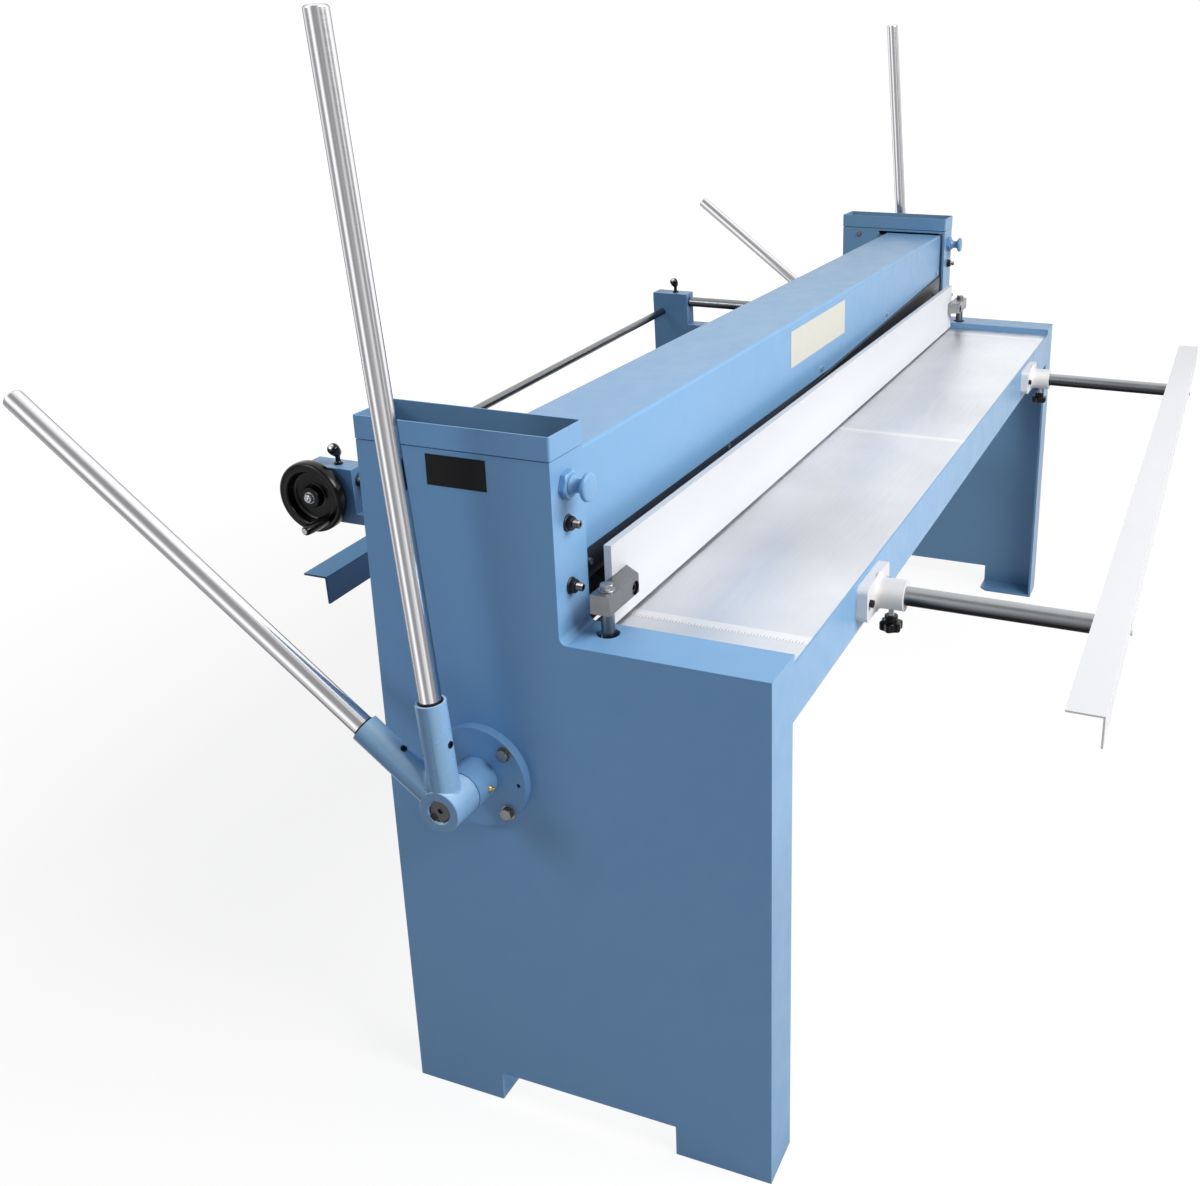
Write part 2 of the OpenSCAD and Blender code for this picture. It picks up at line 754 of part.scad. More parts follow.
// Hex bolts of the bearing flanges and the rear guides
module frame_bolts() {
  color([0.42, 0.40, 0.38]) sides() {
    for (a = [45:90:315])
      translate([0, shaft_y + flange_bolt_r * cos(a), shaft_z + flange_bolt_r * sin(a)]) {
        rod_x(bolt_r, -xo - flange_t - hair, -x_in + nut_h, 0, 0);
        hex_x(bolt_head_d, -xo - flange_t - bolt_head_h, -xo - flange_t);
        hex_x(bolt_head_d, -x_in, -x_in + nut_h - wall);
      }
    rod_x(bolt_r, -x_col - sheet_t, -x_col + hair, guide_bolt_y, guide_bolt_z);
    translate([0, guide_bolt_y, guide_bolt_z]) hex_x(guide_head_d, -x_col, -x_col + wall);
  }
}
module hex_x(d, x0, x1) {
  translate([x0, 0, 0]) rotate([0, 90, 0]) cylinder(d = d, h = x1 - x0, $fn = hex);
}

// Steel bed under the lower blade
module bed_beam() {
  color([0.20, 0.32, 0.45]) {
    box(-x_in, x_in, bed_y, low_y0, bed_z, table_z - table_t);
    box(-x_in, x_in, low_y0 - hair, low_y1, bed_z, table_z - low_blade_h);
  }
}

// Lower blade with its countersunk rear holes
module lower_blade() {
  z = table_z - low_blade_h / 2;
  color([0.42, 0.43, 0.45]) difference() {
    box(-blade_len / 2, blade_len / 2, low_y0, low_y1, table_z - low_blade_h, table_z);
    for (i = [0:blade_bolts_n - 1]) {
      x = row_x(i, blade_bolts_n, blade_bolt_pitch);
      rod_y(blade_head_r, low_y0 + low_blade_t / 2, low_y1 + cut_over, x, z);
    }
  }
}
function row_x(i, n, pitch) = (i - (n - 1) / 2) * pitch;

// Ground table plate with three inlaid rulers
module table_plate() {
  color([0.78, 0.79, 0.81]) difference() {
    box(-x_rim, x_rim, y_front + apron_t, low_y0, table_z - table_t, table_z);
    rulers(cut_over);
  }
}
module rulers(over) {
  half = ruler_w / 2;
  for (x = [-ruler_x, ruler_mid_x, ruler_x])
    box(x - half, x + half, y_front + apron_t - over, low_y0 + over, table_z - ruler_t, table_z + over);
}
module ruler_strips() {
  color([0.92, 0.92, 0.93]) rulers(0);
}

// Folded apron under the table's front edge
module front_apron() {
  y1 = y_front + apron_lip;
  color([0.36, 0.55, 0.74]) difference() {
    union() {
      box(-x_rim, x_rim, y_front, y_front + apron_t, apron_z, table_z);
      box(-x_rim, x_rim, y_front, y1, apron_z, apron_z + apron_t);
      box(-x_rim, x_rim, y1 - apron_t, y1, apron_z, apron_z + apron_rise);
    }
    sides()
      rod_y(front_rod_r + wall, y_front - cut_over, y_front + apron_t + cut_over, -front_rod_x, front_rod_z);
  }
}

// Bushing of a front gauge rod: rounded flange and round boss
module gauge_bushing() {
  w = bush_w / 2;
  h = bush_h / 2;
  color([0.93, 0.93, 0.93]) translate([-front_rod_x, 0, front_rod_z]) difference() {
    union() {
      box(-w, w, bush_y, y_front, -h + bush_round, h - bush_round);
      box(-w + bush_round, w - bush_round, bush_y, y_front, -h, h);
      for (x = [-w + bush_round, w - bush_round]) for (z = [-h + bush_round, h - bush_round])
        rod_y(bush_round, bush_y, y_front, x, z);
      rod_y(bush_r, boss_y, y_front, 0, 0);
    }
    rod_y(front_rod_r + fit, boss_y - cut_over, y_front + cut_over, 0, 0);
    for (x = [-bush_screw_x, bush_screw_x]) rod_y(bush_screw_r, bush_y - cut_over, y_front + cut_over, x, 0);
    rod_z(stud_r + fit, -bush_r - cut_over, 0, 0, star_y);
  }
}
module left_gauge_bushing() gauge_bushing();
module right_gauge_bushing() right_hand() gauge_bushing();

module bushing_screws() {
  color([0.10, 0.10, 0.11]) sides() for (x = [-bush_screw_x, bush_screw_x]) difference() {
    union() {
      rod_y(bush_screw_r, bush_y - hair, y_front, x - front_rod_x, front_rod_z);
      rod_y(bush_head_r, bush_y - bush_head_r, bush_y, x - front_rod_x, front_rod_z);
    }
    hex_y(bush_head_r, bush_y - 2 * bush_head_r, bush_y - bush_head_r / 2, x - front_rod_x, front_rod_z);
  }
}

// Bare plate on the left frame's outer face
module rating_plate() {
  color([0.06, 0.06, 0.07])
    box(-xo - plate_t, -xo, rating_y, rating_y + rating_w, rating_z, rating_z + rating_h);
}

// Main shaft with turned ends
module main_shaft() {
  color([0.40, 0.38, 0.37]) {
    rod_x(shaft_r, -x_in + shoulder, x_in - shoulder, shaft_y, shaft_z);
    sides() difference() {
      rod_x(journal_r, -xo - hub_out + wall, -x_in + shoulder + hair, shaft_y, shaft_z);
      rod_x(centre_r, -xo - hub_out, -xo - hub_out + wall + centre_r, shaft_y, shaft_z);
      shaft_key(cut_over);
    }
  }
}
module shaft_key(over) {
  key_l = hub_out - boss_out - 2 * wall;
  translate([-xo - hub_out + wall - over, shaft_y, shaft_z]) rotate([-45, 0, 0])
    translate([0, journal_r - key_w / 2, -key_w / 2]) cube([key_l + over, key_w, key_w]);
}

// Cranks with their rollers, keyed to the main shaft
module shaft_cranks() {
  color([0.30, 0.30, 0.32]) sides() {
    difference() {
      union() {
        rod_x(crank_hub_r, -crank_x, -crank_x + crank_t, shaft_y, shaft_z);
        translate([-crank_x, shaft_y, shaft_z]) rotate([-crank_up, 0, 0])
          translate([0, -crank_r - roller_r, -roller_r]) cube([crank_t, crank_r + roller_r, 2 * roller_r]);
      }
      rod_x(shaft_r, -crank_x - cut_over, -crank_x + crank_t + cut_over, shaft_y, shaft_z);
    }
    rod_x(roller_pin_r, -yoke_x1, -crank_x + hair, pin_y, pin_z);
    rod_x(roller_r, -yoke_x0 - roller_over, -yoke_x1 + roller_over, pin_y, pin_z);
  }
}

// Lever hub: tube on the shaft's end with two welded sockets
module lever_hub() {
  color([0.40, 0.60, 0.80]) difference() {
    union() {
      rod_x(hub_r, -xo - hub_out, -xo - boss_out - gib_slack, shaft_y, shaft_z);
      lever_place(upright_angle) cylinder(r = socket_r, h = socket_reach);
      lever_place(raked_angle) cylinder(r = socket_r, h = socket_reach);
    }
    rod_x(journal_r, -xo - hub_out - cut_over, -xo - boss_out + cut_over, shaft_y, shaft_z);
    lever_place(upright_angle) socket_bores();
    lever_place(raked_angle) socket_bores();
    shaft_key(cut_over);
  }
}
module lever_place(lean) {
  translate([-lever_x, shaft_y, shaft_z]) rotate([-lean, 0, 0]) children();
}
module socket_bores() {
  translate([0, 0, lever_foot]) cylinder(r = lever_r, h = socket_reach);
  rod_y(set_screw_r, -2 * socket_r, 0, 0, socket_screw_up);
}
module left_lever_hub() lever_hub();
module right_lever_hub() right_hand() lever_hub();

// Keys and set screws of the lever hubs
module hub_set_screws() {
  color([0.08, 0.08, 0.09]) sides() {
    for (lean = [upright_angle, raked_angle]) lever_place(lean) difference() {
      rod_y(set_screw_r, -socket_r - wall / 2, -lever_r, 0, socket_screw_up);
      hex_y(set_screw_r, -2 * socket_r, -socket_r + wall, 0, socket_screw_up);
    }
    shaft_key(0);
  }
}

// Polished lever bar with a chamfered end
module lever_bar(lean, reach) {
  color([0.85, 0.85, 0.87]) lever_place(lean) {
    translate([0, 0, lever_foot]) cylinder(r = lever_r, h = reach - lever_foot - lever_tip);
    translate([0, 0, reach - lever_tip]) cylinder(r1 = lever_r, r2 = lever_r - lever_tip, h = lever_tip);
  }
}
module left_upright_lever() lever_bar(upright_angle, upright_reach);
module left_raked_lever() lever_bar(raked_angle, raked_reach);
module right_upright_lever() right_hand() lever_bar(upright_angle, upright_reach);
module right_raked_lever() right_hand() lever_bar(raked_angle, raked_reach);

// Folded cover of the upper beam
module beam_cover() {
  y1 = cover_y + cover_t;
  color([0.38, 0.58, 0.79]) difference() {
    union() {
      box(-beam_x, beam_x, cover_y, y1, cover_low, cover_top);
      box(-beam_x, beam_x, cover_y, cover_back, cover_top - cover_t, cover_top);
      box(-beam_x, beam_x, cover_back - cover_t, cover_back, cover_low, cover_top);
      box(-beam_x, beam_x, cover_back - cover_lip, cover_back, cover_low, cover_low + cover_t);
    }
    sloped() box(-xo, xo, cover_y - cut_over, y1 + cut_over, -cover_top, blade_h + gap);
    screw_row() rod_y(screw_shank_r, 0, y1 + cut_over, 0, 0);
  }
}
module screw_row() {
  sloped() for (i = [0:screws_n - 1]) translate([row_x(i, screws_n, screw_pitch), 0, screw_up]) children();
}

// Blade carrier inside the beam, its foot parallel with the cutting edge
module blade_carrier() {
  color([0.12, 0.20, 0.30]) difference() {
    sloped() {
      box(-xo, xo, shank_y, carrier_y1, carrier_foot, carrier_top);
      box(-xo, xo, cover_y + cover_t, shank_y + hair, blade_h, carrier_top);
    }
    sides() box(-2 * xo, -beam_x, 0, cover_back, 0, 2 * xo);
    screw_row() rod_y(screw_shank_r, 0, shank_y + screw_lift, 0, 0);
    bolt_row() rod_y(blade_shank_r, 0, carrier_y1 + cut_over, 0, 0);
  }
}
module bolt_row() {
  sloped() for (i = [0:blade_bolts_n - 1])
    translate([row_x(i, blade_bolts_n, blade_bolt_pitch), 0, bolt_up]) children();
}

// End block of the beam with the yoke for the crank's roller
module slide_block() {
  color([0.28, 0.30, 0.33]) difference() {
    union() {
      box(-block_x0, -beam_x, gib_y1 + gap, rear_guide_y - gap, block_low, cover_top - block_drop);
      box(-yoke_x0, -yoke_x1, yoke_y0, shaft_y - shaft_r - wall, pin_z - slot_share * slot_h, block_low + hair);
    }
    for (y = [slot_y0, pin_y]) rod_x(slot_h, -yoke_x0 - cut_over, -yoke_x1 + cut_over, y, pin_z);
    box(-yoke_x0 - cut_over, -yoke_x1 + cut_over, slot_y0, pin_y, pin_z - slot_h, pin_z + slot_h);
  }
}
module left_slide_block() slide_block();
module right_slide_block() right_hand() slide_block();

// Upper blade, its front face in the plane where the blades pass
module upper_blade() {
  color([0.30, 0.30, 0.31]) difference() {
    sloped() box(-blade_len / 2, blade_len / 2, shear_y, shank_y, 0, blade_h);
    bolt_row() {
      rod_y(blade_shank_r, 0, shank_y + cut_over, 0, 0);
      rod_y(blade_head_r, 0, shear_y + blade_t / 2, 0, 0);
    }
  }
}
module blade_bolts() {
  color([0.05, 0.05, 0.06]) bolt_row() difference() {
    union() {
      rod_y(blade_shank_r, shear_y + blade_t / 2 - hair, carrier_y1, 0, 0);
      rod_y(blade_head_r, shear_y + wall / 2, shear_y + blade_t / 2, 0, 0);
    }
    hex_y(blade_head_r, 0, shear_y + blade_t / 4 + wall / 2, 0, 0);
  }
}

// Cover screws; the low ones bear on the carrier beside the cover's edge
module cover_screws() {
  color([0.75, 0.78, 0.80]) sloped() for (i = [0:screws_n - 1]) {
    x = row_x(i, screws_n, screw_pitch);
    z = edge_mid_z + x * sin(blade_slope) + screw_up * cos(blade_slope);
    y = z > cover_low ? cover_y : cover_y + cover_t;
    translate([x, 0, screw_up]) difference() {
      union() {
        rod_y(screw_shank_r, y - hair, shank_y + screw_lift, 0, 0);
        rod_y(screw_head_r, y - screw_head_h, y, 0, 0);
      }
      hex_y(screw_head_r, y - 2 * screw_head_h, y - screw_head_h / 2, 0, 0);
    }
  }
}

// Bare plate on the beam's front
module beam_plate() {
  x1 = beam_plate_x + beam_plate_w;
  color([0.88, 0.88, 0.86])
    box(beam_plate_x, x1, cover_y - plate_t, cover_y, beam_plate_z, beam_plate_z + beam_plate_h);
}

// Rear gauge rods with their seats on the blade carrier
module rear_gauge_rods() {
  color([0.45, 0.46, 0.48]) rear_frame() for (x = [-rear_rod_x, rear_rod_x]) {
    rod_y(rear_rod_r, carrier_y1, rear_y1 + cut_over, x, 0);
    box(x - rod_seat, x + rod_seat, carrier_y1, carrier_y1 + rod_seat, carrier_foot - rear_rod_up, rod_seat);
  }
}

// Hold-down bar
module clamp_bar() {
  z0 = table_z + bar_gap;
  color([0.95, 0.95, 0.96]) difference() {
    box(-blade_len / 2, blade_len / 2, bar_y, bar_y + bar_t, z0, z0 + bar_h);
    sides() rod_y(bolt_r, bar_y - cut_over, bar_y + bar_t + cut_over, -block_screw_x, block_screw_z);
  }
}
module clamp_block() {
  x1 = -block_screw_x + counter_r + block_edge + block_slant;
  y0 = bar_y - block_d;
  color([0.42, 0.44, 0.45]) difference() {
    translate([0, 0, block_z]) linear_extrude(height = block_h)
      polygon([[block_x, y0], [x1 - block_slant, y0], [x1, bar_y], [block_x, bar_y]]);
    rod_y(bolt_r, y0 - cut_over, bar_y + cut_over, -block_screw_x, block_screw_z);
    rod_y(counter_r, y0 - cut_over, counter_y, -block_screw_x, block_screw_z);
    rod_z(clamp_rod_r, block_z - cut_over, block_z + block_h / 2, -clamp_x, clamp_y);
    rod_z(bolt_r, block_z, block_top + cut_over, -clamp_x, clamp_y);
  }
}
module left_clamp_block() clamp_block();
module right_clamp_block() right_hand() clamp_block();

module clamp_rods() {
  color([0.25, 0.26, 0.27]) sides() difference() {
    rod_z(clamp_rod_r, guide_z0 + guide_floor + gap, block_z + block_h / 2, -clamp_x, clamp_y);
    rod_z(bolt_r, block_z - block_h / 2, block_top, -clamp_x, clamp_y);
  }
}
module clamp_screws() {
  z1 = block_top + washer_t;
  y0 = bar_y - block_d;
  color([0.36, 0.37, 0.38]) sides() {
    rod_z(bolt_r, block_z - block_h / 2, z1 + hair, -clamp_x, clamp_y);
    rod_z(bolt_head_d * washer_share, block_top, z1, -clamp_x, clamp_y);
    translate([-clamp_x, clamp_y, z1]) cylinder(d = bolt_head_d, h = bolt_head_h, $fn = hex);
    difference() {
      union() {
        rod_y(bolt_r, counter_y - hair, bar_y + bar_t, -block_screw_x, block_screw_z);
        rod_y(counter_r - wall, y0 + wall, counter_y, -block_screw_x, block_screw_z);
      }
      hex_y(counter_r - wall, y0, y0 + counter_d / 2, -block_screw_x, block_screw_z);
    }
  }
}

// Front gauge: two rods, an angle and its screws
module front_gauge_rods() {
  color([0.33, 0.34, 0.35]) sides() difference() {
    rod_y(front_rod_r, front_angle_y + front_leg_t, y_front + front_rod_in, -front_rod_x, front_rod_z);
    rod_y(stud_r, front_angle_y, front_angle_y + 2 * front_rod_r, -front_rod_x, front_rod_z);
  }
}
module front_gauge_angle() {
  x = xo - front_angle_in;
  y1 = front_angle_y + front_leg_t;
  color([0.95, 0.95, 0.96]) difference() {
    union() {
      box(-x, x, front_angle_y, front_angle_y + front_leg_top, table_z - front_leg_t, table_z);
      box(-x, x, front_angle_y, y1, table_z - front_leg_drop, table_z);
    }
    sides() rod_y(stud_r, front_angle_y - cut_over, y1 + cut_over, -front_rod_x, front_rod_z);
  }
}
module front_gauge_screws() {
  color([0.10, 0.10, 0.11]) sides() {
    rod_y(stud_r, front_angle_y - hair, front_angle_y + 2 * front_rod_r, -front_rod_x, front_rod_z);
    rod_y(2 * stud_r, front_angle_y - wall, front_angle_y, -front_rod_x, front_rod_z);
  }
}

// Star knob that clamps a front rod from below
module star_knob() {
  z1 = front_rod_z - bush_r;
  z0 = z1 - star_neck;
  lobe_r = star_r * star_lobe_share;
  color([0.07, 0.07, 0.08]) translate([-front_rod_x, star_y, 0]) {
    rod_z(stud_r, z1 - 2 * stud_r, front_rod_z - front_rod_r - gap, 0, 0);
    rod_z(star_r / 2, z0, z1 - stud_r, 0, 0);
    rod_z(star_r * star_core_share, z0 - star_h, z0 + hair, 0, 0);
    for (i = [0:star_lobes_n - 1])
      rotate([0, 0, i * 360 / star_lobes_n]) rod_z(lobe_r, z0 - star_h, z0, star_r - lobe_r, 0);
  }
}
module left_star_knob() star_knob();
module right_star_knob() right_hand() star_knob();

// Rear gauge carriage on its rod, with the arm that carries the angle
module carriage(x, drop) {
  x0 = x - carriage_w / 2;
  x1 = x + carriage_w / 2;
  color([0.22, 0.38, 0.54]) rear_frame() difference() {
    union() {
      box(x0, x1, carriage_y, rear_y1, -drop, carriage_up);
      box(x0, x1, rear_angle_y + 2 * rear_leg_t, carriage_y + hair, -carriage_dn, arm_h - carriage_dn);
    }
    rod_y(rear_rod_r + fit, rear_angle_y, rear_y1 + cut_over, x, 0);
    rod_x(cross_r + fit, x0 - cut_over, x1 + cut_over, cross_y, -cross_dn);
    rod_z(stud_r + fit, rear_rod_r, carriage_up + cut_over, x, lever_y);
  }
}
module left_carriage() carriage(-rear_rod_x, carriage_dn);
module right_carriage() carriage(rear_rod_x, carriage_dn_right);

module rear_gauge_angle() {
  x = xo - rear_angle_in;
  z0 = -carriage_dn - rear_leg_drop;
  z1 = -carriage_dn;
  color([0.40, 0.60, 0.82]) rear_frame() {
    box(-x, x, rear_angle_y, rear_angle_y + rear_leg_top, z1 - rear_leg_t, z1);
    box(-x, x, rear_angle_y, rear_angle_y + rear_leg_t, z0, z1);
  }
}

module cross_shaft() {
  x1 = rear_rod_x + carriage_w / 2 + gap;
  x0 = -wheel_x - wheel_d;
  color([0.30, 0.31, 0.32]) rear_frame() difference() {
    union() {
      rod_x(cross_r, x0, x1 + collar_w + wall, cross_y, -cross_dn);
      for (x = [x1, -x1 - wall]) rod_x(collar_share * cross_r, x, x + wall, cross_y, -cross_dn);
    }
    translate([0, cross_y, -cross_dn]) hex_x(cross_r, x0 - cut_over, x0 + wall);
  }
}

// Dished handwheel on the cross shaft's left end
module handwheel() {
  hub = cross_r * wheel_hub_share;
  color([0.06, 0.06, 0.06]) wheel_place() difference() {
    union() {
      rotate_extrude() polygon([[cross_r, 0], [hub, 0], [hub, web_z], [rim_in, web_z + web_t], [rim_in, 0],
        [wheel_r - rim_round, 0], [wheel_r, rim_round], [wheel_r, wheel_d - rim_round],
        [wheel_r - rim_round, wheel_d], [rim_in + rim_round, wheel_d], [rim_in, wheel_d - rim_round],
        [rim_in, web_z + 2 * web_t], [hub, web_z + web_t], [hub - wall, wheel_d - wall],
        [cross_r, wheel_d - wall]]);
      grip_place() cylinder(r = grip_r, h = wheel_d - web_z - rim_round / 2);
    }
    grip_place() translate([0, 0, -cut_over]) cylinder(r = grip_pin_r, h = wheel_d + cut_over);
  }
}
module wheel_place() {
  rear_frame() translate([-wheel_x, cross_y, -cross_dn]) rotate([0, -90, 0]) children();
}
module grip_place() {
  rotate([0, 0, grip_at]) translate([grip_ring, 0, web_z]) children();
}

// Revolving grip of the handwheel on its pin
module crank_grip() {
  color([0.10, 0.10, 0.11]) wheel_place() grip_place() {
    cylinder(r = grip_pin_r - fit, h = wheel_d - web_z + 2 * gap);
    translate([0, 0, wheel_d - web_z + gap]) {
      cylinder(r1 = grip_r - wall, r2 = grip_r, h = grip_len / 2);
      translate([0, 0, grip_len / 2 - hair]) cylinder(r1 = grip_r, r2 = grip_r - wall / 2, h = grip_len / 2);
    }
  }
}

// Clamp lever on top of a carriage
module clamp_lever(x) {
  color([0.08, 0.08, 0.09]) rear_frame() translate([x, lever_y, 0]) {
    rod_z(stud_r, rear_rod_r + gap, carriage_up + lever_stem, 0, 0);
    rod_z(stud_r + wall / 2, carriage_up + gap, carriage_up + lever_stem / 2, 0, 0);
    translate([0, 0, carriage_up + lever_stem]) {
      sphere(r = stud_r + wall / 2);
      rotate([0, -head_angle, 0]) cylinder(r1 = stud_r, r2 = stud_r + wall, h = lever_head);
      rotate([0, -head_angle, 0]) translate([0, 0, lever_head]) sphere(r = stud_r + wall);
    }
  }
}
module left_clamp_lever() clamp_lever(-rear_rod_x);
module right_clamp_lever() clamp_lever(rear_rod_x);

// Mushroom knob with a screw through the column's rim
module gib_knob() {
  neck = knob_r * neck_share;
  crown = knob_r * crown_share;
  color([0.36, 0.55, 0.74]) translate([-xo + gib_in, y_col, knob_z]) rotate([90, 0, 0]) {
    translate([0, 0, -sheet_t]) cylinder(r = gib_screw_r, h = sheet_t + knob_out / 2);
    translate([0, 0, nut_h + gap]) cylinder(r = neck, h = knob_out / 2);
    translate([0, 0, knob_out / 2]) cylinder(r1 = neck, r2 = knob_r, h = knob_out / 4);
    translate([0, 0, knob_out * 3 / 4 - hair]) cylinder(r = knob_r, h = knob_out / 8);
    translate([0, 0, knob_out * 7 / 8 - 2 * hair]) cylinder(r1 = knob_r, r2 = crown, h = knob_out / 8);
  }
}
module left_gib_knob() gib_knob();
module right_gib_knob() right_hand() gib_knob();

left_side_frame();
right_side_frame();
left_top_tray();
right_top_tray();
left_rear_guide();
right_rear_guide();
left_front_gib();
right_front_gib();
gib_screws();
left_bearing_flange();
right_bearing_flange();
frame_bolts();
grease_nipples();
bed_beam();
lower_blade();
table_plate();
ruler_strips();
front_apron();
left_gauge_bushing();
right_gauge_bushing();
bushing_screws();
rating_plate();
main_shaft();
shaft_cranks();
left_lever_hub();
right_lever_hub();
left_upright_lever();
left_raked_lever();
right_upright_lever();
right_raked_lever();
hub_set_screws();
beam_cover();
blade_carrier();
left_slide_block();
right_slide_block();
upper_blade();
blade_bolts();
cover_screws();
beam_plate();
rear_gauge_rods();
clamp_bar();
left_clamp_block();
right_clamp_block();
clamp_rods();
clamp_screws();
front_gauge_angle();
front_gauge_rods();
front_gauge_screws();
left_star_knob();
right_star_knob();
left_carriage();
right_carriage();
rear_gauge_angle();
cross_shaft();
handwheel();
crank_grip();
left_clamp_lever();
right_clamp_lever();
left_gib_knob();
right_gib_knob();
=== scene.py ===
# %% [markdown]
# A hand-lever sheet metal shear. Two folded steel side frames carry a ground table, a fixed lower
# blade and a sliding beam with the sloping upper blade. The packed model gives every piece its place
# and motion. This script gives each piece its folded, turned or ground shape, and its finish.

# %% The frame and the tools
import json
import math

import bmesh
import bpy
from mathutils import Matrix, Vector


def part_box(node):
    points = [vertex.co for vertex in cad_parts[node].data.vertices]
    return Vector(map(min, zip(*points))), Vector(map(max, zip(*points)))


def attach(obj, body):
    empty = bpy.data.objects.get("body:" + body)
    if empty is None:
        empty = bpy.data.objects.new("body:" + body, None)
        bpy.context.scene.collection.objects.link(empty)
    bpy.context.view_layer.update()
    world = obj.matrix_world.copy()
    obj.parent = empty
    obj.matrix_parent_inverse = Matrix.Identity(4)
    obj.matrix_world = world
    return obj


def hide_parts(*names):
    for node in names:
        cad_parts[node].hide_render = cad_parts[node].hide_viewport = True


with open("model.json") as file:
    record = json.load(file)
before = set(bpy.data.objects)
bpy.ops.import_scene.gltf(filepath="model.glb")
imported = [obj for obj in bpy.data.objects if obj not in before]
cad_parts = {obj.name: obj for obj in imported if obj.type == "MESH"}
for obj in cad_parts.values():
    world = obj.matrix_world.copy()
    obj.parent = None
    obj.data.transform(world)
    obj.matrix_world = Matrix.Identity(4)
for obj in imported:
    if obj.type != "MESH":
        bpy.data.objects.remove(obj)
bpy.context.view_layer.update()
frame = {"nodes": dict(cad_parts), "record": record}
bodies = frame["record"]["behaviour"]["bodies"]
body_of_node = {node: body for body, nodes in bodies.items() for node in nodes}
print("nodes:", len(body_of_node), "bodies:", len(bodies))

# %% [markdown]
# The camera stands to the operator's left, a little above the trays, and is close, so the near frame
# is much larger than the far one. Its place and lens were worked out from the photograph's straight
# edges. The lens is shifted because the photograph was cropped off centre. Turning the camera instead
# would change how the uprights lean and how the far end narrows.

# %% Camera
PHOTO_WIDTH = 1200
PHOTO_HEIGHT = 1186
FOCAL_PIXELS = 1279.58
CENTRE_PIXEL = (769.07, 461.64)
SENSOR_MM = 36
CAMERA_PLACE = (-2.6284, -0.8469, 1.6719)
CAMERA_TURN = (71.708, -0.023, -69.420)

camera_data = bpy.data.cameras.new("photo_camera")
camera_data.sensor_width = SENSOR_MM
camera_data.lens = SENSOR_MM * FOCAL_PIXELS / PHOTO_WIDTH
camera_data.shift_x = (PHOTO_WIDTH / 2 - CENTRE_PIXEL[0]) / PHOTO_WIDTH
camera_data.shift_y = (CENTRE_PIXEL[1] - PHOTO_HEIGHT / 2) / PHOTO_WIDTH
camera = bpy.data.objects.new("photo_camera", camera_data)
camera.location = CAMERA_PLACE
camera.rotation_euler = [math.radians(a) for a in CAMERA_TURN]
bpy.context.scene.collection.objects.link(camera)
bpy.context.scene.camera = camera
print("lens:", round(camera_data.lens, 2), "mm")

# %% [markdown]
# Every finish is a Principled material whose small changes of colour, gloss and height come from
# noise on Object coordinates. Pictures of paint or steel could do the same, but noise has no seams
# and no end. A few short calls keep each finish to a few lines. The floor and the world use them too.


# %% Short calls for nodes
class Nodes:
    """Short calls for a node tree."""

    def __init__(self, tree):
        self.tree = tree

    def node(self, kind, **settings):
        node = self.tree.nodes.new(kind)
        for name, value in settings.items():
            setattr(node, name, value)
        return node

    def join(self, source, target):
        self.tree.links.new(source, target)

    def remap(self, value, low, high, to_low=0.0, to_high=1.0, **settings):
        node = self.node("ShaderNodeMapRange", **settings)
        for name, number in (("From Min", low), ("From Max", high), ("To Min", to_low), ("To Max", to_high)):
            node.inputs[name].default_value = number
        self.join(value, node.inputs["Value"])
        return node.outputs["Result"]

    def dot(self, vector, direction):
        node = self.node("ShaderNodeVectorMath", operation="DOT_PRODUCT")
        node.inputs[1].default_value = direction
        self.join(vector, node.inputs[0])
        return node.outputs["Value"]

    def noise(self, place, scale, stretch=(1, 1, 1), detail=3.0):
        mapping = self.node("ShaderNodeMapping")
        mapping.inputs["Scale"].default_value = stretch
        noise = self.node("ShaderNodeTexNoise")
        noise.inputs["Scale"].default_value = scale
        noise.inputs["Detail"].default_value = detail
        self.join(place, mapping.inputs["Vector"])
        self.join(mapping.outputs["Vector"], noise.inputs["Vector"])
        return noise.outputs["Fac"]

    def axis(self, vector, letter):
        node = self.node("ShaderNodeSeparateXYZ")
        self.join(vector, node.inputs["Vector"])
        return node.outputs[letter]


print("node calls:", [name for name in vars(Nodes) if not name.startswith("_")])

# %% [markdown]
# A finish is one Principled shader and what feeds it. Each tint lies over the one before, as a coat of
# dust lies over paint, and each bump adds to the last.


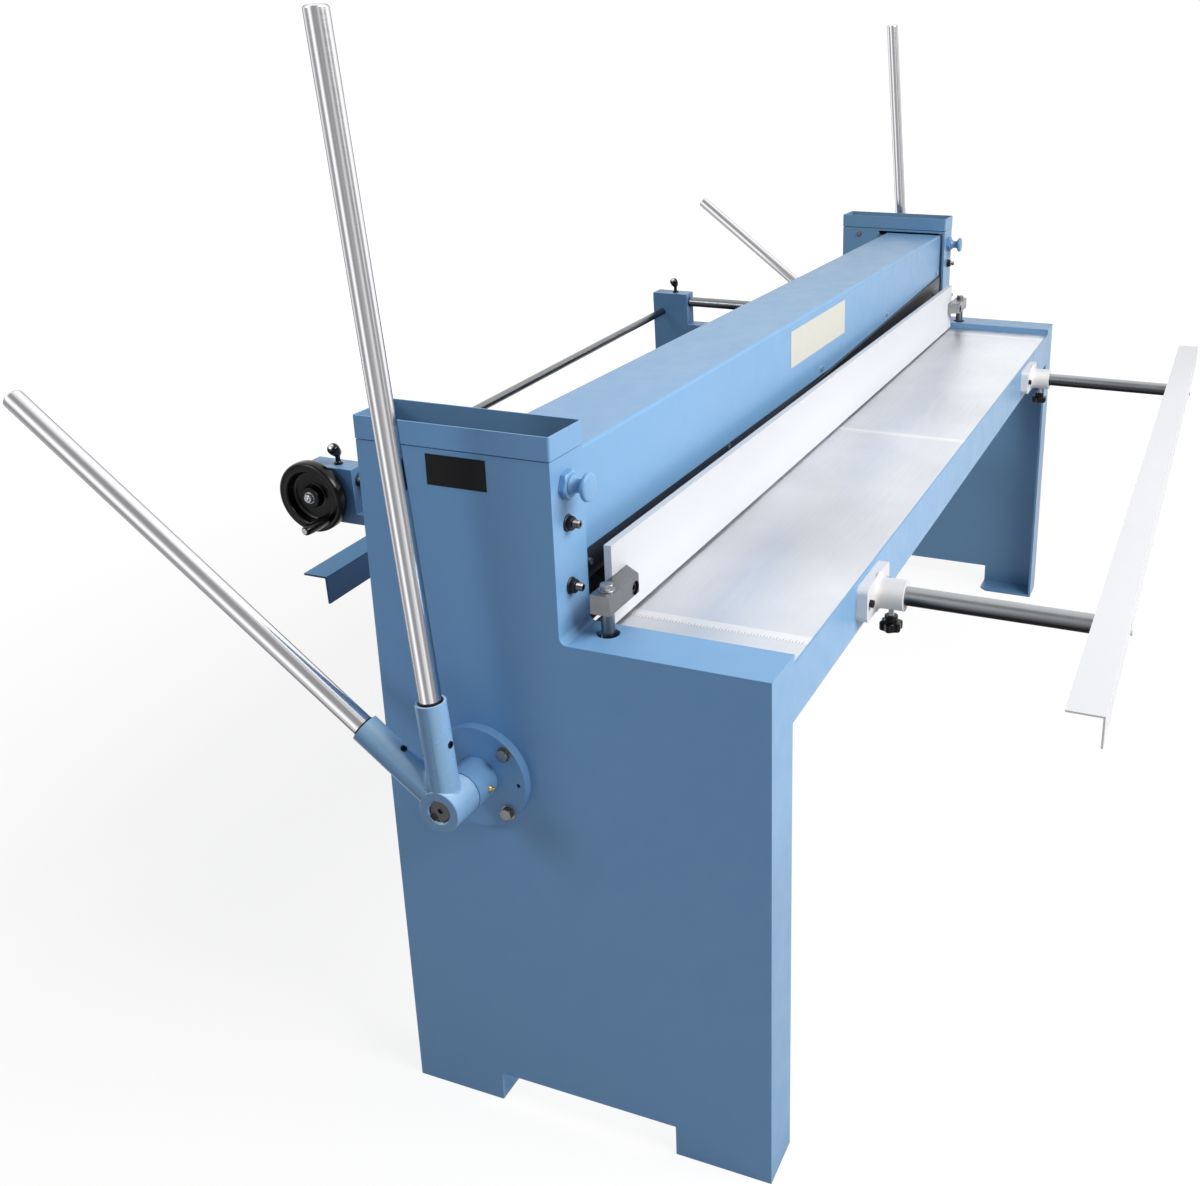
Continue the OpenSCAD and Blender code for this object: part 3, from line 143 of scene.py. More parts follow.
# %% One finish
class Finish(Nodes):
    """A Principled material, with short calls for the nodes that feed it."""

    def __init__(self, name, color, roughness, metallic=0.0):
        self.material = bpy.data.materials.new(name)
        self.material.use_nodes = True
        super().__init__(self.material.node_tree)
        self.shader = self.tree.nodes["Principled BSDF"]
        self.color = color
        self.shader.inputs["Base Color"].default_value = (*color, 1)
        self.shader.inputs["Roughness"].default_value = roughness
        self.shader.inputs["Metallic"].default_value = metallic
        self.place = self.node("ShaderNodeTexCoord").outputs["Object"]
        self.height = None

    def turn_place(self, angles):
        """Turns the Object coordinates, so that Z lies along a leaning piece."""
        mapping = self.node("ShaderNodeMapping")
        mapping.inputs["Rotation"].default_value = angles
        self.join(self.place, mapping.inputs["Vector"])
        self.place = mapping.outputs["Vector"]

    def grain(self, scale, stretch=(1, 1, 1), detail=3.0):
        return self.noise(self.place, scale, stretch, detail)

    def towards(self, direction, low, high):
        """How far a surface faces a direction, from 0 to 1."""
        normal = self.node("ShaderNodeNewGeometry").outputs["Normal"]
        return self.remap(self.dot(normal, direction), low, high)

    def tint(self, factor, color):
        """Mixes the base colour towards another one."""
        mix = self.node("ShaderNodeMix", data_type="RGBA")
        usual, other = [socket for socket in mix.inputs if socket.type == "RGBA"]
        result = [socket for socket in mix.outputs if socket.type == "RGBA"][0]
        base = self.shader.inputs["Base Color"]
        if base.is_linked:
            self.join(base.links[0].from_socket, usual)
        else:
            usual.default_value = (*self.color, 1)
        other.default_value = (*color, 1)
        self.join(factor, mix.inputs["Factor"])
        self.join(result, base)

    def gloss(self, factor, low, high):
        """Lets a pattern move the roughness between two values."""
        self.join(self.remap(factor, 0.3, 0.7, low, high), self.shader.inputs["Roughness"])

    def bump(self, factor, distance, strength=1.0):
        node = self.node("ShaderNodeBump")
        node.inputs["Distance"].default_value = distance
        node.inputs["Strength"].default_value = strength
        self.join(factor, node.inputs["Height"])
        if self.height:
            self.join(self.height, node.inputs["Normal"])
        self.height = node.outputs["Normal"]
        self.join(self.height, self.shader.inputs["Normal"])


def darker(color, share):
    return [c * share for c in color]


print("finish calls:", [name for name in vars(Finish) if not name.startswith("_")])

# %% [markdown]
# The machine is painted a light steel blue, sprayed over sheet and castings. Sprayed enamel shows a
# faint orange peel a few millimetres across, and long slow changes of tone. Over that lies painted
# shade: the paint darkens towards the far end, where the lamp's light falls off, and in inner corners,
# which the occlusion node finds. Faces turned up or to the left get painted light and shade, and some
# parts have lighter or darker copies of the blue, as painted light and shade. Powder coat on the bar
# and gauges is white, duller and has a finer grain.


# %% Paints
UP, LEFT = (0, 0, 1), (-1, 0, 0)
CLOUD_SCALE, CLOUD_COLOR, CLOUD_MOST = 1.6, 0.88, 0.22
CORNER_SHADE_REACH, CORNER_SHADE_COLOR, CORNER_SHADE_MOST = 0.12, 0.45, 0.6
SHADE_NEAR_X, SHADE_FAR_X = -0.7, 1.15
FACING_SPAN = 0.5
FINE_GRAIN, FINE_DEPTH = 900.0, 0.00004


def paint(name, color, roughness, peel=260.0, depth=0.00008, specular=0.5, facing_light_shade=(), far_shade=0.0):
    """The facing list gives directions, each with a colour painted as light and shade on faces turned that
    way, and where it starts; the far tone is painted shade at the far end, where the lamp's light falls off.
    """
    finish = Finish(name, color, roughness)
    cloud = finish.grain(CLOUD_SCALE)
    finish.tint(finish.remap(cloud, 0.35, 0.65, 0.0, CLOUD_MOST), darker(color, CLOUD_COLOR))
    # Painted shade: inner corners that the occlusion node finds are darkened.
    corner = finish.node("ShaderNodeAmbientOcclusion", samples=4)
    corner.inputs["Distance"].default_value = CORNER_SHADE_REACH
    finish.tint(finish.remap(corner.outputs["AO"], 0.1, 0.7, CORNER_SHADE_MOST, 0.0), darker(color, CORNER_SHADE_COLOR))
    # Painted light and shade: faces turned towards each listed direction take its colour.
    for direction, other, low in facing_light_shade:
        finish.tint(finish.towards(direction, low, min(low + FACING_SPAN, 0.99)), other)
    # Painted shade: the paint darkens towards the far end, where the lamp's light falls off.
    if far_shade:
        finish.tint(finish.remap(finish.axis(finish.place, "X"), SHADE_NEAR_X, SHADE_FAR_X), darker(color, far_shade))
    finish.gloss(finish.grain(30), roughness - 0.05, roughness + 0.05)
    finish.bump(finish.grain(peel, detail=1.0), depth)
    finish.shader.inputs["Specular IOR Level"].default_value = specular
    finish.shader.inputs["Coat Weight"].default_value = specular / 2
    finish.shader.inputs["Coat Roughness"].default_value = 0.3
    return finish.material


# Painted shade: the frame's left faces get a deeper blue, and its far end is darkened.
frame_paint = paint("frame_paint", (0.190, 0.395, 0.680), 0.42, specular=0.4,
                    facing_light_shade=[(LEFT, (0.168, 0.375, 0.690), 0.4)], far_shade=0.74)
# A lighter copy of the frame's blue for the lever hubs, as painted light; tops paler still as painted light,
# left faces darker as painted shade.
hub_paint = paint("hub_paint", (0.275, 0.500, 0.800), 0.28, 200.0,
                  facing_light_shade=[(UP, (0.42, 0.66, 0.92), 0.3), (LEFT, (0.145, 0.325, 0.600), 0.9)])
# Darker copies of the blue for the carriages and the rear gauge angle, as painted shade, with tops paler as
# painted light.
rear_shade_paint = paint("rear_shade_paint", (0.080, 0.195, 0.380), 0.45, specular=0.35,
                   facing_light_shade=[(UP, (0.19, 0.36, 0.60), 0.4)])
angle_shade_paint = paint("angle_shade_paint", (0.018, 0.080, 0.200), 0.5, specular=0.2,
                    facing_light_shade=[(UP, (0.19, 0.39, 0.66), 0.4)])
# A darker, duller blue for the inside of the trays: painted shade in their hollow.
tray_shade_paint = paint("tray_shade_paint", (0.165, 0.305, 0.475), 0.55, specular=0.4)
# Painted light: on the white coats, faces turned left are paler.
LIT_END = [(LEFT, (0.95, 0.945, 0.94), 0.4)]
# A brighter copy of the white coat for the front gauge and bushings, as painted light.
gauge_lit_coat = paint("gauge_lit_coat", (0.71, 0.735, 0.79), 0.55, FINE_GRAIN, FINE_DEPTH, 0.2, LIT_END)
# A near-black blue for the blade carrier, as painted shade under the beam's cover.
carrier_paint = paint("carrier_paint", (0.024, 0.034, 0.055), 0.5)
white_coat = paint("white_coat", (0.63, 0.655, 0.71), 0.55, FINE_GRAIN, FINE_DEPTH, 0.2, LIT_END)
print("paints:", len(bpy.data.materials))

# %% [markdown]
# Bare steel comes in several kinds here, among them the table ground lengthwise, the dark blades,
# drawn rods with a dull skin, and dark oiled bolts. Grinding marks are noise stretched along one axis.
# An anisotropic shader could give the same sheen, but not the marks. On the drawn rods what faces down is
# tinted dark, as painted shade.


# %% Metals
DOWN = (0, 0, -1)
EVEN, ALONG_X, ALONG_Y = (1, 1, 1), (0.03, 1, 1), (1, 0.02, 1)
UNDER_SHADE_FROM, UNDER_SHADE_TO = -0.45, 0.1
MARK_STRENGTH = 0.6


def steel(name, color, roughness, stretch, scale, depth=0.00003, mottle=0.85, shade_under=0.0):
    """stretch and scale give the marks, mottle the tone of the stains, and the under tone is painted shade on
    what faces down.
    """
    finish = Finish(name, color, roughness, 1.0)
    marks = finish.grain(scale, stretch, 4.0)
    cloud = finish.grain(3.0, detail=4.0)
    finish.tint(finish.remap(cloud, 0.35, 0.7), darker(color, mottle))
    # Painted shade: faces turned down are darkened.
    if shade_under:
        finish.tint(finish.towards(DOWN, UNDER_SHADE_FROM, UNDER_SHADE_TO), (shade_under, shade_under, shade_under * 1.1))
    finish.gloss(marks, roughness * 0.8, roughness * 1.25)
    finish.bump(marks, depth, MARK_STRENGTH)
    return finish.material


table_steel = steel("table_steel", (0.74, 0.76, 0.80), 0.36, ALONG_X, 200.0, 0.000006, 0.82)
blade_steel = steel("blade_steel", (0.11, 0.11, 0.115), 0.4, ALONG_X, 200.0)
drawn_steel = steel("drawn_steel", (0.42, 0.435, 0.45), 0.24, EVEN, 25.0, 0.000003, shade_under=0.06)
rear_steel = steel("rear_steel", (0.25, 0.26, 0.27), 0.26, EVEN, 25.0, 0.000003, shade_under=0.05)
block_steel = steel("block_steel", (0.30, 0.315, 0.33), 0.30, (0.1, 1, 1), 60.0, 0.0001, 0.45)
bolt_steel = steel("bolt_steel", (0.25, 0.24, 0.235), 0.3, EVEN, 90.0, mottle=0.5)
black_screw = steel("black_screw", (0.045, 0.045, 0.05), 0.4, EVEN, 120.0)
cast_iron = steel("cast_iron", (0.16, 0.17, 0.18), 0.55, EVEN, 300.0, 0.0001)
brass = steel("brass", (0.80, 0.56, 0.22), 0.28, EVEN, 150.0)
zinc = steel("zinc", (0.70, 0.72, 0.74), 0.3, EVEN, 80.0)
dull_zinc = steel("dull_zinc", (0.50, 0.51, 0.52), 0.32, EVEN, 80.0, mottle=0.6)
print("paints and metals:", len(bpy.data.materials))

# %% [markdown]
# The lever bars are turned and polished, so they carry fine rings along their length and mirror the
# room in long bands. The noise is stretched flat and leans as the bar does. The bars look darker where
# they turn edge on, which the specular tint gives.

# %% Polished bars
LEANS = (4.5, 53)  # the upright and the raked levers, in degrees from the vertical
BAR_COLOR, EDGE_TINT = (0.88, 0.88, 0.905), (0.12, 0.12, 0.13, 1)


def bright_bar(name, lean):
    finish = Finish(name, BAR_COLOR, 0.15, 1.0)
    finish.turn_place((math.radians(lean), 0, 0))
    rings = finish.grain(4.0, (1, 1, 60), 2.0)
    finish.gloss(rings, 0.12, 0.18)
    finish.bump(rings, 0.0000015, MARK_STRENGTH)
    finish.shader.inputs["Specular Tint"].default_value = EDGE_TINT
    return finish.material


upright_steel, raked_steel = [
    bright_bar(name, lean) for name, lean in zip(("upright_steel", "raked_steel"), LEANS)]
print("bars lean", LEANS, "degrees")

# %% [markdown]
# Plastic knobs and the handwheel are black and moulded, so they are smooth with a soft sheen. The
# ruler strips and the bare plates are thin aluminium. The same few calls serve for all of them.


# %% Plastics and plates
def plastic(name, color, roughness, specular=0.5):
    finish = Finish(name, color, roughness)
    finish.shader.inputs["Specular IOR Level"].default_value = specular
    finish.gloss(finish.grain(45), roughness - 0.06, roughness + 0.08)
    finish.bump(finish.grain(500, detail=1.0), 0.00004)
    return finish.material


black_plastic = plastic("black_plastic", (0.0025, 0.0025, 0.003), 0.2, 0.32)
plate_black = plastic("plate_black", (0.004, 0.004, 0.005), 0.45, 0.2)
plate_pale = plastic("plate_pale", (0.60, 0.60, 0.55), 0.36)
ruler_metal = steel("ruler_metal", (0.86, 0.86, 0.87), 0.4, ALONG_Y, 300.0)
print("finishes:", len(bpy.data.materials))

# %% [markdown]
# A CAD node keeps its exact place, and its box gives the places of what is built on it. Its copy gets
# its loose triangles merged and its crisp edges bevelled, as a deburred or cast edge has. Weighted
# normals keep the flat faces flat. Where the apron is welded to the frames the edges stay sharp, so the
# weld doesn't show.

# %% Helpers for pieces
MM = 0.001
MERGE = 0.00001
SMOOTH_BELOW = 40


def spot(node):
    """The low corner, the high corner and the middle of a CAD node's box, in millimetres."""
    low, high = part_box(node)
    return [[round(v / MM, 2) for v in point] for point in (low, high, (low + high) / 2)]


apron_low, apron_high, _ = spot("front_apron")
SEAM_X, SEAM_Y = apron_high[0], apron_high[1] + 7  # the apron's ends, and a place just behind it


def piece(name, bm, material, node, *nodes):
    """A new object from bm that rides with a CAD node, and replaces the nodes named after it."""
    for face in bm.faces:
        face.smooth = True
    for edge in bm.edges:
        edge.smooth = len(edge.link_faces) == 2 and edge.calc_face_angle(0) < math.radians(SMOOTH_BELOW)
    mesh = bpy.data.meshes.new(name)
    bm.to_mesh(mesh)
    bm.free()
    mesh.materials.append(material)
    obj = bpy.data.objects.new(name, mesh)
    bpy.context.scene.collection.objects.link(obj)
    weighted = obj.modifiers.new("flat faces", "WEIGHTED_NORMAL")
    weighted.keep_sharp = True
    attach(obj, body_of_node[node])
    if nodes:
        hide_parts(*nodes)


def merged(node):
    bm = bmesh.new()
    bm.from_mesh(frame["nodes"][node].data)
    bmesh.ops.remove_doubles(bm, verts=bm.verts, dist=MERGE)
    bmesh.ops.dissolve_limit(bm, angle_limit=math.radians(0.5), verts=bm.verts, edges=bm.edges)
    return bm


def on_seam(edge):
    return all(abs(abs(v.co.x) - SEAM_X * MM) < 2 * MERGE and v.co.y < SEAM_Y * MM for v in edge.verts)


def bevel(bm, edges, width, segments=2):
    bmesh.ops.bevel(bm, geom=edges, offset=width, offset_type="OFFSET", segments=segments, profile=0.5,
                    affect="EDGES", clamp_overlap=True, material=-1)


def soften(bm, width, angle=32):
    """Bevels every edge sharper than an angle in degrees."""
    sharp = [e for e in bm.edges if len(e.link_faces) == 2 and e.calc_face_angle(0) > math.radians(angle)]
    bevel(bm, [e for e in sharp if not on_seam(e)], width)


def both_sides(name):
    return ["left_" + name, "right_" + name]


print("apron from", apron_low, "to", apron_high)

# %% [markdown]
# Most plates, bars and castings need no more than that, as their forms are in the CAD solids. The
# table below gives each its finish and the width of its bevel in metres: narrow on ground steel, wide
# on castings. Modelling them again would only risk a shape that differs from the solid.

# %% Pieces that keep the CAD shape
worked_nodes = (
    (frame_paint, 0.0012, both_sides("rear_guide") + both_sides("bearing_flange") + ["bed_beam"]),
    (rear_shade_paint, 0.0010, both_sides("carriage")),
    (angle_shade_paint, 0.0010, ["rear_gauge_angle"]),
    (carrier_paint, 0.0010, ["blade_carrier"]),
    (gauge_lit_coat, 0.0035, both_sides("gauge_bushing")),
    (white_coat, 0.0008, ["clamp_bar"]),
    (gauge_lit_coat, 0.0008, ["front_gauge_angle", "front_gauge_screws"]),
    (blade_steel, 0.0005, ["upper_blade", "lower_blade"]),
    (table_steel, 0.0006, ["table_plate"]),
    (upright_steel, 0.0010, both_sides("upright_lever")),
    (raked_steel, 0.0010, both_sides("raked_lever")),
    (blade_steel, 0.0010, ["main_shaft", "shaft_cranks"]),
    (drawn_steel, 0.0010, ["front_gauge_rods"]),
    (rear_steel, 0.0008, ["rear_gauge_rods", "cross_shaft"]),
    (block_steel, 0.0010, both_sides("clamp_block") + ["clamp_rods"]),
    (zinc, 0.0005, ["cover_screws"]),
    (black_screw, 0.0006, ["bushing_screws", "hub_set_screws", "blade_bolts"]),
    (cast_iron, 0.0015, both_sides("slide_block") + both_sides("front_gib")),
    (ruler_metal, 0.0, ["ruler_strips"]),
    (plate_pale, 0.0002, ["beam_plate"]),
    (plate_black, 0.0002, ["rating_plate"]),
)
for material, width, nodes in worked_nodes:
    for node in nodes:
        bm = merged(node)
        if width:
            soften(bm, width)
        piece(node + "_worked", bm, material, node, node)
print("CAD shapes kept:", sum(len(nodes) for _, _, nodes in worked_nodes))

# %% [markdown]
# The lever hubs are bored right through for the shaft, and the bore's mouth has a broad chamfer. It
# leaves a dark ring round the shaft's end, deepened by a black ring of painted shade laid over it
# further on, so the hub reads as a tube and not as one lump.

# %% Lever hubs
_, (SHAFT_END, _, _), (_, SHAFT_Y, SHAFT_Z) = spot("main_shaft")
HUB_END, HUB_SLACK = spot("right_lever_hub")[1][0] - 1, 1.1
MOUTH_R = 16.5
for node in both_sides("lever_hub"):
    bm = merged(node)
    mouth = []
    for edge in bm.edges:
        points = [v.co / MM for v in edge.verts]
        if all(abs(abs(p.x) - HUB_END) < HUB_SLACK and math.hypot(p.y - SHAFT_Y, p.z - SHAFT_Z) < MOUTH_R
               for p in points):
            mouth.append(edge)
    bevel(bm, mouth, 0.0028, 1)
    soften(bm, 0.0012, 50)
    piece(node + "_worked", bm, hub_paint, node, node)
    print(node, "mouth edges:", len(mouth))

# %% [markdown]
# The ruler strips let into the table have plain graduations every five millimetres, etched black, with
# each second one longer. A texture could draw them, but thin boxes stay crisp from any distance.


# %% Ruler graduations
def block(bm, low, high):
    """A box between two corners in millimetres."""
    made = bmesh.ops.create_cube(bm, size=1.0)["verts"]
    size = [b - a for a, b in zip(low, high)]
    middle = [(a + b) / 2 for a, b in zip(low, high)]
    bmesh.ops.scale(bm, vec=size, verts=made)
    bmesh.ops.translate(bm, vec=middle, verts=made)
    bmesh.ops.scale(bm, vec=(MM, MM, MM), verts=made)


TICK_X, FIRST_TICK, SPARE = (-1052, -22, 1028), 8, 10
TICK_STEP, TICK_LENGTHS, HALF_TICK = 5, (8, 5), 0.25
strip_low, strip_high = [[v / MM for v in corner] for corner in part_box("ruler_strips")]
count = int((strip_high[1] - strip_low[1] - SPARE) / TICK_STEP)
ticks = bmesh.new()
for x in TICK_X:
    for step in range(count):
        y = strip_low[1] + FIRST_TICK + TICK_STEP * step
        block(ticks, (x, y - HALF_TICK, strip_high[2] - 0.1),
              (x + TICK_LENGTHS[step % 2], y + HALF_TICK, strip_high[2] + 0.05))
piece("ruler_graduations", ticks, plate_black, "ruler_strips")
print("graduations:", count, "a strip, top at", round(strip_high[2], 2))

# %% [markdown]
# Folded sheet has a round bend of about its own thickness on the outside. A frame side, a tray, the
# apron and the beam's cover are sheets, so their long outer edges get a wide bevel first, and then
# every edge that is still sharp gets a narrow one. A bevel modifier would round them all alike, so the
# edges are chosen by the plane they lie on.


# %% Folded sheets
SIDES = ((-1, "left_"), (1, "right_"))
APRON_Y = apron_low[1]
FRAME_X, COVER_Z = spot("right_side_frame")[1][0], spot("beam_cover")[1][2]
CORNER_X, CORNER_Z, SQUARE_REACH, SLACK = SEAM_X + 6, apron_low[2], 31, 0.5


def fold(bm, axis, place, width):
    """Rounds the sharp outer edges that lie on the plane at a place in mm along an axis."""
    chosen = []
    for edge in bm.edges:
        if len(edge.link_faces) != 2 or edge.calc_face_angle(0) < math.radians(60):
            continue
        if not edge.is_convex or on_seam(edge):
            continue
        if all(abs(vert.co[axis] - place * MM) < 2 * MERGE for vert in edge.verts):
            chosen.append(edge)
    bevel(bm, chosen, width, 5)
    return len(chosen)


def square(bm):
    """Draws the small corner radius under the apron in to a plain corner, as the welded sheets have."""
    moved = 0
    for vert in bm.verts:
        x, y, z = abs(vert.co.x) / MM, vert.co.y / MM, vert.co.z / MM
        near_x = CORNER_X - SQUARE_REACH < x < CORNER_X + SLACK and abs(x - SEAM_X) >= SLACK
        near_z = CORNER_Z - SQUARE_REACH < z < CORNER_Z + SLACK
        if near_x and near_z and y < SEAM_Y - 50:
            vert.co.x = math.copysign(CORNER_X * MM, vert.co.x)
            vert.co.z = CORNER_Z * MM
            moved += 1
    bmesh.ops.remove_doubles(bm, verts=bm.verts, dist=MERGE)
    bmesh.ops.dissolve_degenerate(bm, edges=bm.edges, dist=MERGE)
    return moved


def folded(node, axis, place, width, squared=False):
    bm = merged(node)
    if squared:
        print(node, "corner points moved:", square(bm))
    print(node, "folds:", fold(bm, axis, place, width))
    soften(bm, 0.0008)
    piece(node + "_folded", bm, frame_paint, node, node)


for side, name in SIDES:
    folded(name + "side_frame", 0, side * FRAME_X, 0.005, True)
folded("beam_cover", 2, COVER_Z, 0.006)
folded("front_apron", 1, APRON_Y, 0.0025)

# %% [markdown]
# Knobs, nuts, screws and the handwheel come off a lathe. The next helper does the same: it spins an
# outline of radius and height points about an axis. A hexagon is a turned bar whose flats cut in, so
# points outside the flats move in to them, and the turned chamfer leaves its curved corners.


# %% A lathe
COS30, TAN30 = math.cos(math.radians(30)), math.tan(math.radians(30))


def stand(x, y, z, along=UP, spin=0.0):
    """A place in millimetres, its Z axis along a direction."""
    turned = Vector(along).to_track_quat("Z", "Y").to_matrix().to_4x4()
    spun = Matrix.Rotation(math.radians(spin), 4, "Z")
    return Matrix.Scale(MM, 4) @ Matrix.Translation((x, y, z)) @ turned @ spun


def hex_limit(co, corner):
    """How far from the axis a hexagon reaches in the direction of a point."""
    angle = math.degrees(math.atan2(co.y, co.x)) % 60 - 30
    return corner * COS30 / math.cos(math.radians(angle))


def turn(bm, place, outline, steps=48, flats=0.0, socket=0.0, lobes=None):
    """Turns an outline; flats cuts a hexagon, socket a hexagon recess, lobes waves the radius."""
    part = bmesh.new()
    verts = [part.verts.new((radius, 0, height)) for radius, height in outline]
    edges = [part.edges.new(ends) for ends in zip(verts, verts[1:])]
    bmesh.ops.spin(part, geom=verts + edges, cent=(0, 0, 0), axis=(0, 0, 1), angle=2 * math.pi,
                   steps=steps, use_merge=True)
    bmesh.ops.remove_doubles(part, verts=part.verts, dist=0.001)
    bmesh.ops.recalc_face_normals(part, faces=part.faces)
    for vert in part.verts:
        radius = vert.co.xy.length
        if flats and radius > hex_limit(vert.co, flats / 2):
            vert.co.xy *= hex_limit(vert.co, flats / 2) / radius
        if socket and abs(radius - socket) < 0.01:
            vert.co.xy *= hex_limit(vert.co, socket) / radius
        if lobes and radius > lobes[1]:
            count, core, depth = lobes
            share = min(1, (radius - core) / depth)
            wave = 0.5 - 0.5 * math.cos(count * math.atan2(vert.co.y, vert.co.x))
            vert.co.xy *= 1 - share * depth / radius * wave
    part.transform(place)
    mesh = bpy.data.meshes.new("turned")
    part.to_mesh(mesh)
    part.free()
    bm.from_mesh(mesh)
    bpy.data.meshes.remove(mesh)


print("a hexagon's flats are at", round(hex_limit(Vector((COS30, 0.5)), 1), 3), "of its corners")

# %% [markdown]
# A bolt head is a hexagon whose corners are turned off at 30 degrees. A thread could be a true helix,
# but from here it reads the same as a row of plain rings, which the lathe makes at once.

# %% Hexagons and threads
CROWN_SHARE, FOOT_SHARE = 0.93, 0.97
PITCH, THREAD_DEPTH = 1.5, 0.6


def hex_head(bm, place, width, low, high):
    """A chamfered hexagon, width across its corners."""
    flat = width / 2 * COS30
    crown = CROWN_SHARE * flat
    drop = (width / 2 - crown) * TAN30
    chamfer = [(width / 2 + (crown - width / 2) * k / 5, high - drop * (1 - k / 5)) for k in range(6)]
    foot = [(0, low), (flat * FOOT_SHARE, low), (width / 2, low + 0.5)]
    turn(bm, place, [*foot, *chamfer, (0, high)], flats=width)


def thread(radius, low, high):
    """The outline of a screw thread, up to its chamfered tip."""
    ridges = []
    for k in range(int((high - low) / PITCH)):
        ridges += [(radius, low + k * PITCH), (radius - THREAD_DEPTH, low + (k + 0.5) * PITCH)]
    return ridges + [(radius, high - 1), (radius - 1, high)]


print("points on a 20 mm thread:", len(thread(6, 0, 20)))

# %% [markdown]
# The bearing flanges are held by hexagon bolts with washers, and the gib screws by lock nuts on
# threaded studs. The knob above them has a painted nut. All sit on the column's front or the frame.

# %% Flange bolts
FRONT = (0, -1, 0)
WALL_X = spot("right_bearing_flange")[0][0]
FLANGE_X = WALL_X + 21
BOLT_CIRCLE, BOLT_ANGLES, ACROSS = 70, (45, 135, 225, 315), 21
GUIDE_BOLT = (1113, 265, 1112)

bolts = bmesh.new()
for side, _ in SIDES:
    out, back = (side, 0, 0), (-side, 0, 0)
    for angle in BOLT_ANGLES:
        y = SHAFT_Y + BOLT_CIRCLE * math.cos(math.radians(angle))
        z = SHAFT_Z + BOLT_CIRCLE * math.sin(math.radians(angle))
        turn(bolts, stand(side * FLANGE_X, y, z, out), [
            (0, 0), (12, 0), (12.3, 0.5), (12.3, 1.2), (11.8, 1.6), (0, 1.6)])
        hex_head(bolts, stand(side * FLANGE_X, y, z, out, angle), ACROSS, 1.6, 9.2)
        turn(bolts, stand(side * WALL_X, y, z, back), [(0, -1), *thread(6, 0, 10), (0, 10)])
        hex_head(bolts, stand(side * WALL_X, y, z, back), ACROSS, 0, 7)
    hex_head(bolts, stand(side * GUIDE_BOLT[0], *GUIDE_BOLT[1:], back), 15, 0, 3)
piece("frame_bolts_made", bolts, bolt_steel, "frame_bolts", "frame_bolts")
print("flange bolts:", 2 * len(BOLT_ANGLES))

# %% Gib nuts and studs
_, _, (GIB_X, _, KNOB_Z) = spot("right_gib_knob")
COLUMN_Y, GIB_SCREW_Z = 3, (1030, 935)

nuts = bmesh.new()
studs = bmesh.new()
knob_nuts = bmesh.new()
for side, _ in SIDES:
    for z in GIB_SCREW_Z:
        place = stand(side * GIB_X, COLUMN_Y, z, FRONT, 12)
        turn(nuts, place, [(0, 0), (12.5, 0), (12.8, 0.8), (12.2, 2), (10.5, 3), (0, 3)])
        hex_head(nuts, place, ACROSS, 2.5, 10)
        turn(studs, place, [(0, -6), (6, -6), *thread(6, 0, 20), (3, 20), (3, 16), (0, 16)], socket=3)
    hex_head(knob_nuts, stand(side * GIB_X, COLUMN_Y, KNOB_Z, FRONT, 8), 44, 0, 10)
piece("gib_nuts_made", nuts, black_screw, "gib_screws", "gib_screws")
piece("gib_studs_made", studs, bolt_steel, "gib_screws")
piece("knob_nuts_made", knob_nuts, frame_paint, "gib_screws")
print("gib nuts:", 2 * len(GIB_SCREW_Z))

# %% [markdown]
# The mushroom knob is one painted turning: a slim waist that swells into a crowned disc. It could be
# joined from a disc and a rod, but one outline keeps the swell between them smooth.

# %% Mushroom knobs
for side, name in SIDES:
    name += "gib_knob"
    knob = bmesh.new()
    turn(knob, stand(side * GIB_X, COLUMN_Y, KNOB_Z, FRONT), [
        (0, -6), (6, -6), (6, 10.3), (14, 10.3), (14.5, 11), (13.5, 13), (11, 16), (10, 20), (10.3, 24),
        (12, 27.5), (15.5, 30), (19, 31.3), (20.6, 33), (21, 35), (20.6, 37.2), (19, 38.8), (16, 39.6),
        (8, 40.2), (0, 40.4)])
    piece(name + "_made", knob, frame_paint, name, name)
    print(name, "turned")

# %% [markdown]
# The two sockets are welded to the lever hub and to each other, and paint makes the welds one smooth
# hollow. A bevel on a boolean of the tubes could give it, but tends to tear where three meet. So where
# two tubes meet, the helper takes a point on each tube beside the meeting line, and bends a hollow
# curve between them.


# %% A hollow bead
BEAD_STEPS, BEAD_SINK = 6, 0.4


def hollow(bm, rows, closed):
    """A concave bead; each row is a point on one part, the corner, and a point on the other, in mm."""
    loops = []
    for start, corner, end in rows:
        parts = [n / BEAD_STEPS for n in range(BEAD_STEPS + 1)]
        line = [start * (1 - k) ** 2 + corner * 2 * k * (1 - k) + end * k * k for k in parts]
        inside = corner * 2 - (start + end) / 2
        line.append(corner + (inside - corner) * BEAD_SINK)
        loops.append([bm.verts.new(point * MM) for point in line])
    pairs = list(zip(loops, loops[1:])) + ([(loops[-1], loops[0])] if closed else [])
    for one, two in pairs:
        for k in range(len(one)):
            j = (k + 1) % len(one)
            bm.faces.new((one[k], one[j], two[j], two[k]))
    if not closed:
        bm.faces.new(loops[0])
        bm.faces.new(loops[-1])
    bmesh.ops.recalc_face_normals(bm, faces=bm.faces)


def arm_along(lean):
    return Vector((0, math.sin(math.radians(lean)), math.cos(math.radians(lean))))


arms = [arm_along(lean) for lean in LEANS]
print("arms point along", [[round(v, 3) for v in arm] for arm in arms])

# %% [markdown]
# The meeting lines are worked out from the radii of hub and socket. The sockets are flush with the
# hub's outer end, so the weld runs out there. Between the sockets it follows the plane halfway.

